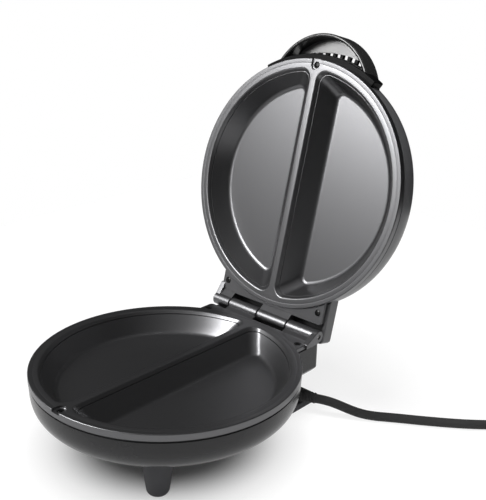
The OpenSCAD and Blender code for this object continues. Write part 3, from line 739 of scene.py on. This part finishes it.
@dataclass
class CastPlate:
    """A coated cast plate with two half-moon wells and its share of the hinge barrel."""

    half: Half
    radius: float = 108.0
    cast: float = 2.8
    face: float = -0.2
    tab_face: float = -2.2
    edge: float = -6.0
    well_radius: float = 99.5
    depth: float = 18.0
    outer_run: float = 12.0
    divider_run: float = 14.0
    divider: float = 6.6
    mouth_corner: float = 9.0
    floor_corner: float = 6.0
    mouth_round: float = 2.0
    floor_round: float = 5.0
    edge_round: float = 0.7
    tab_half: float = 58.0
    tab_back: float = 111.0
    barrel: float = 5.5
    pin: float = 2.06
    seat_radius: float = 2.95
    recess: float = 4.5
    groove: Sequence[Point2] = ((4.4, 0.0), (4.1, 0.15), (3.7, 0.15), (3.4, 0.0))

    def moon(self, radius: float, side: float, corner: float, height: float) -> list[Point3]:
        """Returns a half-moon: an arc about the middle, a straight side at x = side and round corners."""
        reach = math.sqrt((radius - corner) ** 2 - (side + corner) ** 2)
        turn = math.degrees(math.atan2(reach, side + corner))
        plan = [*arc((0, 0), radius, -turn, turn, 88),
                *arc((side + corner, reach), corner, turn, 180, 12)[1:],
                *arc((side + corner, -reach), corner, 180, 360 - turn, 12)[:-1]]
        return [(x, y, height) for x, y in plan]

    def ring(self, share: float, inset: float, height: float) -> list[Point3]:
        """Returns the well's outline at a share of its depth, drawn in by inset."""
        corner = self.mouth_corner + (self.floor_corner - self.mouth_corner) * share - inset
        return self.moon(self.well_radius - self.outer_run * share - inset,
                         self.divider / 2 + self.divider_run * share + inset, corner, height)

    def well_rings(self, grow: float, drop: float) -> list[list[Point3]]:
        """Returns a well's rings from above its mouth down to its floor.

        Args:
            grow: how far the form stands out from the well's surface.
            drop: how far it lies below it.

        Returns:
            The rings, with a rounded mouth and a rounded edge of the floor.
        """
        slope = math.atan2(self.depth, self.outer_run)
        top, floor = self.face - drop, self.face - self.depth - drop
        reach = math.tan(slope / 2)
        mouth = [self.ring(0, self.mouth_round * (math.sin(angle) - reach) - grow,
                           top - self.mouth_round * (1 - math.cos(angle)))
                 for angle in (slope * i / 5 for i in range(6))]
        wall = [self.ring(share, -grow, top - self.depth * share) for share in (0.3, 0.55)]
        bottom = [self.ring(1, self.floor_round * (reach - math.sin(angle)) - grow,
                            floor + self.floor_round * (1 - math.cos(angle)))
                  for angle in (slope * (1 - i / 5) for i in range(6))]
        return [*mouth, *wall, *bottom]

    def both_sides(self, name: str, rings: Sequence[Sequence[Point3]]) -> list[Form]:
        """Makes a form and its mirror image in the divider."""
        mirrored = [[(-x, y, z) for x, y, z in ring] for ring in rings]
        return [loft(name, rings), loft(name, mirrored)]

    def wells(self) -> list[Form]:
        """Makes the two hollows of the wells."""
        rings = self.well_rings(0.0, 0.0)
        first = self.ring(0, -self.mouth_round * 0.6, self.face + 3)
        return self.both_sides("well", [first, *rings])

    def pans(self) -> list[Form]:
        """Makes the two bodies under the wells."""
        return self.both_sides("pan", self.well_rings(self.cast, self.cast)[4:])

    def disc(self) -> Form:
        """Makes the plate's flat and its rim wall."""
        inner = self.radius - self.cast
        soft = self.edge_round
        edge = [(self.radius - soft + x, self.face - soft + z)
                for x, z in reversed(arc((0, 0), soft, 0, 90, 6))]
        return lathe("disc", [
            (0, self.face), *((self.radius - x, self.face - z) for x, z in self.groove), *edge,
            (self.radius, self.edge + 0.4), (self.radius - 0.4, self.edge), (inner, self.edge),
            (inner, self.face - self.cast), (0, self.face - self.cast)], 240)

    def tab(self) -> Form:
        """Makes the tab at the back that the barrel hangs on."""
        outline = round_rect(-self.tab_half, self.tab_half, 65, self.tab_back, 3)
        tab = rounded(prism("tab", outline, self.edge + 0.02, self.tab_face), 0.6)
        return combined(tab, Join.CUT, rod(self.radius - self.cast + 1, 2, -12, 240))

    def knuckle(self, start: float, end: float) -> list[Form]:
        """Makes one knuckle with the web that ties it to the tab, in the hinge's own place."""
        soft = 0.5
        round_part = lathe("knuckle", [
            (0, start), (self.barrel - soft, start), (self.barrel, start + soft),
            (self.barrel, end - soft), (self.barrel - soft, end), (0, end)], 64)
        moved(round_part, BARREL_PLACE)
        foot, meet = self.tab_back - 1, HINGE_SHARES[self.half].web_meets
        web = along_x("web", [
            (foot, self.edge + 0.04), (foot, self.tab_face - 0.02),
            (HINGE_BACK - self.barrel * meet[0], self.barrel * meet[1]), (HINGE_BACK, 0),
            (HINGE_BACK, -self.barrel + 0.02)], start + 0.1, end - 0.1)
        return [round_part, rounded(web, 0.35, 2, where=lambda middle: start + 1 < middle.x < end - 1)]

    def arm(self, start: float, end: float) -> Form:
        """Makes the arm at an outer end of the barrel."""
        back = self.tab_back - 7
        rise = HINGE_SHARES[self.half].arm_rise
        outline = [(back, self.edge + 0.06), (back, self.tab_face - 0.04),
                   (HINGE_BACK - self.barrel * 0.6, self.barrel * rise),
                   (HINGE_BACK, 0), (HINGE_BACK, -self.barrel + 0.04)]
        return rounded(along_x("arm", outline, start, end), 0.5, 3)

    def build(self) -> Form:
        """Makes the plate and returns the piece."""
        form = self.disc()
        combined(form, Join.ADD, self.tab(), *self.pans())
        share, front = HINGE_SHARES[self.half], PLATE_SCREWS[0]
        combined(form, Join.ADD, *[part for span in share.knuckles for part in self.knuckle(*span)],
                 self.arm(*share.arm))
        recess = rounded(prism("recess", [
            *arc(front, self.recess, 0, 180, 20), (-self.recess, front[1] - 8),
            (self.recess, front[1] - 8)], self.tab_face, 5), 0.8,
            where=lambda middle: middle.z < 0)
        seats = [moved(rod(self.seat_radius, 5, self.tab_face - SCREW_RECESS),
                       Matrix.Translation((*place, 0))) for place in PLATE_SCREWS]
        bore = moved(rod(self.pin, -70, 70), BARREL_PLACE)
        combined(form, Join.CUT, *self.wells(), recess, *seats, bore)
        name = self.half.value
        return deliver(form, f"{name}_cast_plate", self.half.place, name, COATING,
                       [f"{name}_plate"], smooth=32)


@dataclass
class Handle:
    """The hollow handle on the lid: a collar on the bowl, a row of ribs and a crescent grip."""

    shell: Shell
    radius: float = 53.0
    middle_y: float = -78.0
    wall: float = 3.3
    low: float = -8.5
    high: float = -27.5
    collar: float = 113.0
    collar_half: float = 31.0
    slot: float = 4.0
    collar_span: Point2 = (-20.0, -6.6)
    buried: float = 97.0
    grip_reach: float = 94.0
    grip_round: float = 1.55
    skin_extra: float = 1.5
    rib: float = 3.4
    rib_step: float = 8.0
    rib_span: Point2 = (0.1, 3.6)

    def meeting(self, radius: float, reach: float) -> float:
        """Returns in degrees from the front where the grip's circle crosses one about the plate."""
        spread = (reach ** 2 - radius ** 2 - self.middle_y ** 2) / (-2 * radius * self.middle_y)
        return math.degrees(math.acos(spread))

    def bearing(self, half: float, radius: float) -> float:
        """Returns how far a point on a circle about the grip's middle lies from the front, in radians.

        Args:
            half: its angle about the grip's middle, in degrees.
            radius: the circle's radius.

        Returns:
            Its angle about the plate's middle.
        """
        turn = math.radians(half)
        return math.atan2(radius * math.sin(turn), radius * math.cos(turn) - self.middle_y)

    def grip_arc(self, radius: float, half: float, steps: int = 96) -> list[Point2]:
        """Returns an arc about the grip's middle, from left to right past the front."""
        return arc((0, self.middle_y), radius, -90 - half, -90 + half, steps)

    def grip(self) -> Form:
        """Makes the outer wall."""
        spread = self.meeting(self.radius, self.grip_reach)
        inner = self.radius - self.wall
        wall = prism("grip", [*self.grip_arc(self.radius, spread),
                              *reversed(self.grip_arc(inner, spread))], self.high, self.low)
        rounded(wall, self.grip_round, 6, 60)
        return combined(wall, Join.CUT, self.shell.bowl(-0.05, 0.0))

    def skin(self) -> Form:
        """Makes the skin over the grip's far side, which ends at the ribs."""
        edge = self.collar + self.slot - 0.8
        half = self.meeting(self.radius - 1, edge)
        side = math.degrees(self.bearing(half, self.radius - 1))
        return prism("skin", [*self.grip_arc(self.radius - 1, half),
                              *arc((0, 0), edge, -90 + side, -90 - side, 64)[1:-1]],
                     self.high + 0.05, self.high + self.wall + self.skin_extra)

    def build(self) -> list[Form]:
        """Makes the grip, its skin, the collar and the ribs, and returns the pieces."""
        half = self.collar_half
        collar = rounded(prism("collar", [
            *arc((0, 0), self.collar, -90 - half, -90 + half, 72),
            *arc((0, 0), self.buried, -90 + half, -90 - half, 48)], *self.collar_span), 1.0, 4, 60)
        combined(collar, Join.CUT, self.shell.bowl(-0.05, 0.0))
        low, high = (self.high + z for z in self.rib_span)
        rib = rounded(box("rib", (self.buried, -self.rib / 2, low),
                          (self.collar + self.slot + 2, self.rib / 2, high)), 0.4, 2)
        step = self.rib_step / (self.collar + self.slot / 2)
        edge = self.meeting(self.radius, self.collar + self.slot)
        count = int(self.bearing(edge, self.radius) / step)
        ribs = arc_repeat().build("ribs", rib, COLLAR_PAINTED_SHADE, Count=2 * count + 1,
                                  First_angle=-math.pi / 2 - count * step, Step_angle=step)
        room = prism("room", self.grip_arc(self.radius - 0.6, 180, 120)[:-1], -40, 0)
        combined(ribs, Join.KEEP_COMMON, room)
        combined(ribs, Join.CUT, self.shell.bowl(-0.05, 0.0))
        return [deliver(form, f"handle_{word}", Half.LID.place, "lid", finish, stands_for)
                for form, word, finish, stands_for in (
                    (self.grip(), "grip", GLOSS, ["handle"]), (self.skin(), "skin", SKIN_PAINTED_SHEEN, []),
                    (collar, "collar", COLLAR_PAINTED_SHADE, []), (ribs, "ribs", COLLAR_PAINTED_SHADE, []))]


@dataclass
class Feet:
    """Two tapered front feet and the rear foot with the neck that the cord is wound on."""

    shell: Shell
    foot_x: float = 49.0
    foot_y: float = -175.0
    root: float = 15.0
    tip: float = 9.0
    flat: float = 5.0
    top: float = 42.99
    flange: float = 50.0
    flange_high: float = 7.0
    front: float = -25.0
    back: float = 16.0
    neck: float = 11.0
    neck_y: float = -13.0
    neck_span: float = 30.0
    neck_high: float = 33.95
    screw_x: float = 20.0
    hole: float = 3.2

    def front_foot(self, side: int) -> Form:
        """Makes a front foot; side is -1 for the left and 1 for the right."""
        tip = [(self.flat + (self.tip - self.flat) * math.sin(math.radians(w)),
                5 * (1 - math.cos(math.radians(w)))) for w in range(10, 91, 10)]
        foot = lathe("foot", [(0, 0), (self.flat - 0.6, 0), (self.flat, 0.05), *tip,
                              (self.root, self.top), (0, self.top)], 72)
        moved(foot, Matrix.Translation((side * self.foot_x, self.foot_y, 0)))
        bowl = moved(self.shell.bowl(-0.02, 0.0), Matrix.Translation((0, -HINGE_BACK, HINGE_Z)))
        combined(foot, Join.CUT, bowl)
        word = "left" if side < 0 else "right"
        return deliver(foot, f"foot_{word}", MILLIMETRES, "base", FOOT,
                       [f"front_foot_{word}"])

    def rear_foot(self) -> Form:
        """Makes the rear foot."""
        flange = prism("flange", round_rect(-self.flange, self.flange, self.front, self.back, 8, 14),
                       0, self.flange_high)
        rounded(flange, 1.6, 5, 60)
        neck = prism("neck", [*arc((self.neck_span, self.neck_y), self.neck, -90, 90, 32),
                              *arc((-self.neck_span, self.neck_y), self.neck, 90, 270, 32)],
                     1, self.neck_high)
        combined(flange, Join.ADD, neck)
        for x in (-self.screw_x, self.screw_x):
            hole = moved(rod(self.hole, -1, 4), Matrix.Translation((x, self.neck_y, 0)))
            combined(flange, Join.CUT, hole)
        return deliver(flange, "foot_rear", MILLIMETRES, "base", FOOT, ["rear_foot"])

    def build(self) -> list[Form]:
        """Makes all the feet and returns the pieces."""
        return [self.front_foot(-1), self.front_foot(1), self.rear_foot()]


@dataclass
class MainsLead:
    """The cord with its strain relief, its coil beside the base, and its plug."""

    radius: float = 4.0
    exit_z: float = 13.6
    relief_turn: float = 20.0
    relief_end: float = 34.0
    relief_root: float = 5.9
    relief_tip: float = 4.7
    neck: Point2 = (30.0, -13.0)
    middle: Point2 = (243.0, 71.5)
    coil: float = 46.0
    coil_step: float = 8.6
    enter: float = 125.0
    coil_low: float = 5.4
    coil_high: float = 14.0
    lead: float = 9.0
    tail: float = 33.0
    plug_width: float = 49.0
    length: float = 0.83
    route: Sequence[Point3] = field(default_factory=lambda: [
        (0.075, 0.0042, 0.0126), (0.082, 0.008, 0.0104), (0.0895, 0.0124, 0.0076),
        (0.0975, 0.0176, 0.0052), (0.106, 0.0234, 0.0041), (0.115, 0.0296, 0.004),
        (0.125, 0.0364, 0.004), (0.136, 0.0436, 0.004), (0.148, 0.0518, 0.004),
        (0.16, 0.0604, 0.004), (0.172, 0.0698, 0.004), (0.183, 0.0796, 0.004),
        (0.192, 0.0886, 0.0042)])

    @property
    def turns(self) -> float:
        """Number of turns in the coil."""
        return 2 + self.enter / 360

    def coil_point(self, turn: float) -> Vector:
        """Returns the point of the coil after that many turns, in millimetres."""
        radius = self.coil - self.coil_step * min(turn, self.turns - turn)
        climb = min(max(turn - (self.turns / 2 - 0.25), 0), 0.5) * 2
        height = self.coil_low + (self.coil_high - self.coil_low) * (1 - math.cos(math.pi * climb)) / 2
        x, y = polar(radius, self.enter - 360 * turn)
        return Vector((self.middle[0] + x, self.middle[1] + y, height))

    def path(self) -> list[Vector]:
        """Returns the cord's whole centreline in metres."""
        out = Vector((*polar(1, self.relief_turn), 0))
        start = Vector((*self.neck, self.exit_z)) + self.relief_end * out
        steps = round(24 * self.turns)
        wound = [self.coil_point(self.turns * i / steps) for i in range(steps + 1)]
        coming = Vector((*polar(1, self.enter - 90), 0))
        first = wound[0] - self.lead * coming
        ends = [start, start + 2 * self.radius * out]
        tail = [wound[-1] + Vector((0, -self.tail * share, 0)) for share in (0.33, 0.67, 1.0)]
        return [*(0.001 * p for p in ends), *(Vector(p) for p in self.route),
                *(0.001 * p for p in [first - self.lead * coming, first, *wound, *tail])]

    def cord(self) -> Form:
        """Makes the cord as one open curve."""
        path = self.path()
        curve = bpy.data.curves.new("mains_cord", "CURVE")
        curve.dimensions = "3D"
        curve.bevel_depth = self.radius / 1000
        curve.bevel_resolution = 6
        curve.resolution_u = 6
        curve.use_fill_caps = True
        spline = curve.splines.new("BEZIER")
        spline.bezier_points.add(len(path) - 1)
        for point, place in zip(spline.bezier_points, path):
            point.co = place
            point.handle_left_type = point.handle_right_type = "AUTO"
        cord = linked("mains_cord", curve)
        curve.materials.append(CORD.material())
        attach(cord, "base")
        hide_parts("power_cord", "cord_coil")
        LOG.info("mains_cord: %d points on base", len(path))
        return cord

    def relief(self) -> Form:
        """Makes the tapered strain relief with its ribs."""
        place = (Matrix.Translation((*self.neck, self.exit_z))
                 @ Matrix.Rotation(math.radians(self.relief_turn), 4, "Z") @ Z_TO_X)
        root, tip = self.relief_root, self.relief_tip
        core = lathe("relief", [
            (0, 4), (root - 0.2, 4), (root - 0.2, 11.2), (root + 0.3, 11.4), (root + 0.3, 12.8),
            (root - 0.9, 13.2), (tip - 0.45, self.relief_end - 0.4), (tip - 0.8, self.relief_end),
            (0, self.relief_end)], 48)
        ring = lathe("relief_ring", [
            (root - 2.2, -0.8), (root - 0.35, -0.8), (root, -0.45), (root, 0.45), (root - 0.35, 0.8),
            (root - 2.2, 0.8)], 48, closed=True)
        rings = row_repeat().build("relief_rings", ring, CORD, Count=7, Start=(0.0, 0.0, 15.0),
                                   Step=(0.0, 0.0, 2.9), Last_scale=tip / root)
        combined(core, Join.ADD, rings)
        return deliver(moved(core, place), "cord_relief", MILLIMETRES, "base", CORD,
                       ["strain_relief"])

    def plug(self) -> Form:
        """Makes the plug's body with its gland."""
        middle, top = self.middle[0] + self.coil, self.middle[1] - self.tail - 13
        x1, x2 = middle - self.plug_width / 2, middle + self.plug_width / 2
        y1, y2 = top - self.plug_width, top
        steps = [(0, 2.0), (0.6, 0.8), (2, 0), (16, 0), (18.4, 0.5), (20.4, 1.6), (21.5, 3.0), (22, 4.6)]
        body = loft("plug", [[(x, y, z) for x, y in round_rect(
            x1 + inset, x2 - inset, y1 + inset, y2 - inset, 10 - inset)] for z, inset in steps])
        gland = lathe("gland", [(0, 0), (8, 0), (7.8, 5), (6.8, 6), (7.3, 7), (6.4, 8.4), (6.8, 9.4),
                                (5.9, 10.8), (6.2, 11.8), (5.6, 13.2), (5.4, 15), (0, 15)], 48)
        moved(gland, Matrix.Translation((middle, top - 2, self.coil_high))
              @ Matrix.Rotation(math.radians(-90), 4, "X"))
        combined(body, Join.ADD, gland)
        row = top - 14
        combined(body, Join.CUT, box("fuse_room", (middle - 7.6, row - 5, 17.8),
                                     (middle + 7.6, row + 5, 30)))
        return deliver(body, "plug_shell", MILLIMETRES, "base", PLUG, ["plug_body"])

    def build(self) -> list[Form]:
        cord, relief, plug = self.cord(), self.relief(), self.plug()
        return [cord, relief, plug]


@dataclass
class Screws:
    """Pan-head screws with a cross recess that show on a plate."""

    half: Half
    head: float = 2.9
    head_high: float = 1.7
    shank: float = 1.5
    cross: Point2 = (1.6, 0.35)
    seat: float = -3.88

    def screw(self) -> Form:
        """Makes one screw, with its head above z = 0."""
        dome = [(self.head * math.cos(math.radians(w)) * 0.98,
                 0.5 + (self.head_high - 0.5) * math.sin(math.radians(w))) for w in range(5, 90, 14)]
        form = lathe("screw", [(0, -8), (self.shank, -8), (self.shank, 0), (self.head, 0),
                               (self.head, 0.4), *dome, (0, self.head_high)], 32)
        arms = [box("arm", (-x, -y, 0.7), (x, y, 3)) for x, y in (self.cross, self.cross[::-1])]
        return combined(form, Join.CUT, *arms)

    def build(self) -> Form:
        """Sets a screw at each place and returns the piece."""
        points = [(*place, self.seat) for place in PLATE_SCREWS]
        form = point_repeat().build("screws", self.screw(), SCREW, points)
        name = self.half.value
        return deliver(form, f"{name}_screws", self.half.place, name, SCREW,
                       [f"{name}_plate_screws"])


@dataclass
class CarriedNodes:
    """The CAD nodes that stay as they are and get their finish here."""

    finishes: dict[str, Finish] = field(default_factory=lambda: {
        "base_rim_seal": SEAL, "lid_rim_seal": SEAL, "hinge_pin": STEEL, "rear_foot_screws": STEEL,
        "base_element": TUBE, "lid_element": TUBE, "base_element_clips": STEEL,
        "lid_element_clips": STEEL, "base_heat_shield": ALUMINIUM, "lid_heat_shield": ALUMINIUM,
        "base_shield_screws": STEEL, "lid_shield_screws": STEEL, "thermostat": CERAMIC,
        "thermal_fuse": CERAMIC, "terminal_block": CERAMIC, "cord_clamp": STEEL, "cord_tie": STRAP,
        "plug_pins": BRASS, "plug_fuse_cover": FUSE_COVER, "handle_screws": STEEL,
        "power_lens": RED_LENS, "ready_lens": GREEN_LENS, "lamp_holder": CERAMIC})

    def dress(self) -> None:
        """Gives each node its material."""
        for name, finish in self.finishes.items():
            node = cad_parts[name]
            node.data.materials.clear()
            node.data.materials.append(finish.material())
            LOG.info("%s: dressed as %s", name, finish.name)


class Light(Enum):
    """What a lamp acts on: whether matt surfaces, and whether gloss."""

    MATT = (True, False)
    GLOSS = (False, True)


@dataclass
class Studio:
    """The floor, the soft light and the camera at the photograph's angle."""

    camera_place: Point3 = (0.4655, -0.5507, 0.4007)
    camera_heading: Point3 = (-0.6263, 0.6977, -0.3477)
    camera_up: Point3 = (-0.2499, 0.2428, 0.9374)
    lens: float = 64.03
    sky: float = 0.27
    bright_side: Point3 = (-0.4, -0.65, 0.65)
    turned_away: Point2 = (0.2, 1.0)
    reflected: Point2 = (0.0, 0.4)
    floor_tone: float = 0.85
    floor_glow: float = 1.08
    glow_share: Point2 = (0.0, 0.75)
    glow_reach: Point2 = (0.05, 0.105)
    floor_half: float = 0.55
    shadow_middle: Point3 = (0.0, -0.12, 0.0)
    aim: Point3 = (0.0, -0.08, 0.12)

    @staticmethod
    def seen(wiring: Wiring, in_gloss: bool) -> Socket:
        """Returns 1 for the camera's rays, those through glass and, where in_gloss, reflected ones."""
        path = wiring.add("ShaderNodeLightPath").outputs
        found = wiring.math("MAXIMUM", path["Is Camera Ray"], path["Is Transmission Ray"])
        return wiring.math("MAXIMUM", found, path["Is Glossy Ray"]) if in_gloss else found

    def camera(self) -> None:
        """Makes the scene's camera."""
        data = bpy.data.cameras.new("camera")
        data.sensor_width = 36
        data.lens = self.lens
        data.clip_start = 0.01
        camera = linked("camera", data)
        camera.location = self.camera_place
        back = -Vector(self.camera_heading).normalized()
        right = Vector(self.camera_up).cross(back).normalized()
        camera.rotation_mode = "QUATERNION"
        camera.rotation_quaternion = Matrix((right, back.cross(right), back)).transposed().to_quaternion()
        bpy.context.scene.camera = camera

    def floor(self) -> None:
        """Makes the pale floor, which keeps the shadow near the middle; further out a painted white glow
        fades the shadow.
        """
        size = self.floor_half
        mesh = bpy.data.meshes.new("floor")
        mesh.from_pydata([(-size, -size, 0), (size, -size, 0), (size, size, 0), (-size, size, 0)],
                         [], [(0, 1, 2, 3)])
        floor = linked("floor", mesh)
        material = bpy.data.materials.new("floor")
        material.use_nodes = True
        material.node_tree.nodes.clear()
        wiring = Wiring(material.node_tree)
        tone = self.floor_tone
        matt = wiring.add("ShaderNodeBsdfDiffuse", {"Color": (tone, tone, tone, 1)})
        place = wiring.add("ShaderNodeTexCoord").outputs["Object"]
        away = wiring.add("ShaderNodeVectorMath", {0: place, 1: self.shadow_middle},
                          operation="DISTANCE").outputs["Value"]
        share = wiring.ranged(away, self.glow_reach, self.glow_share, interpolation_type="SMOOTHSTEP")
        shown = wiring.math("MULTIPLY", self.seen(wiring, True), share)
        glow = wiring.add("ShaderNodeEmission", {"Color": WHITE, "Strength": self.floor_glow})
        both = wiring.add("ShaderNodeMixShader", {0: shown, 1: matt.outputs[0], 2: glow.outputs[0]})
        wiring.add("ShaderNodeOutputMaterial", {"Surface": both.outputs[0]})
        mesh.materials.append(material)

    def world(self) -> None:
        """Lights from all round; the camera sees white, reflections a bright and a dark side."""
        world = bpy.data.worlds.new("studio")
        world.use_nodes = True
        world.node_tree.nodes.clear()
        wiring = Wiring(world.node_tree)
        path = wiring.add("ShaderNodeLightPath")
        way = wiring.add("ShaderNodeTexCoord").outputs["Generated"]
        side = wiring.add("ShaderNodeVectorMath", {0: way, 1: self.bright_side}, operation="DOT_PRODUCT")
        tone = wiring.ranged(side.outputs["Value"], self.turned_away, self.reflected)
        soft, mirrored, white = (wiring.add("ShaderNodeBackground", {"Color": WHITE, "Strength": power})
                                 for power in (self.sky, tone, 1.0))
        lit = wiring.add("ShaderNodeMixShader", {
            0: path.outputs["Is Glossy Ray"], 1: soft.outputs[0], 2: mirrored.outputs[0]})
        mix = wiring.add("ShaderNodeMixShader", {
            0: self.seen(wiring, False), 1: lit.outputs[0], 2: white.outputs[0]})
        wiring.add("ShaderNodeOutputWorld", {"Surface": mix.outputs[0]})
        bpy.context.scene.world = world

    def lamp(self, name: str, place: Point3, power: float, size: float, lights: Light) -> None:
        """Hangs a soft lamp that points at the object.

        Args:
            name: the lamp's name.
            place: where it hangs, in metres.
            power: its power in watts.
            size: the side of its square face in metres.
            lights: which surfaces it acts on.
        """
        data = bpy.data.lights.new(name, "AREA")
        data.energy = power
        data.size = size
        lamp = linked(name, data)
        lamp.location = place
        lamp.visible_diffuse, lamp.visible_glossy = lights.value
        lamp.rotation_mode = "QUATERNION"
        lamp.rotation_quaternion = (Vector(self.aim) - Vector(place)).to_track_quat("-Z", "Y")

    def build(self) -> None:
        """Sets up the studio."""
        self.camera()
        self.floor()
        self.world()
        self.lamp("key_lamp", (0.0, -0.15, 1.6), 23.0, 0.6, Light.MATT)
        self.lamp("fill_lamp", (0.6, -0.9, 1.3), 7.0, 0.9, Light.MATT)
        self.lamp("strip_lamp", (-0.95, -0.82, 1.15), 2.8, 0.4, Light.GLOSS)
        self.lamp("gloss_lamp", (-0.62, -1.18, 0.95), 33.0, 0.65, Light.GLOSS)
        bpy.context.scene.view_settings.view_transform = "Standard"
        LOG.info("studio: camera, floor and four lamps")


def main() -> None:
    """Builds the omelette maker's looks and the studio."""
    logging.basicConfig(level=logging.INFO, format="%(name)s %(message)s")
    Studio().build()
    MainsLead().build()
    CarriedNodes().dress()
    shells = {half: Shell(half) for half in Half}
    for half, shell in shells.items():
        shell.build()
        CastPlate(half).build()
        Screws(half).build()
    Handle(shells[Half.LID]).build()
    Feet(shells[Half.BASE]).build()


if __name__ == "__main__":
    main()
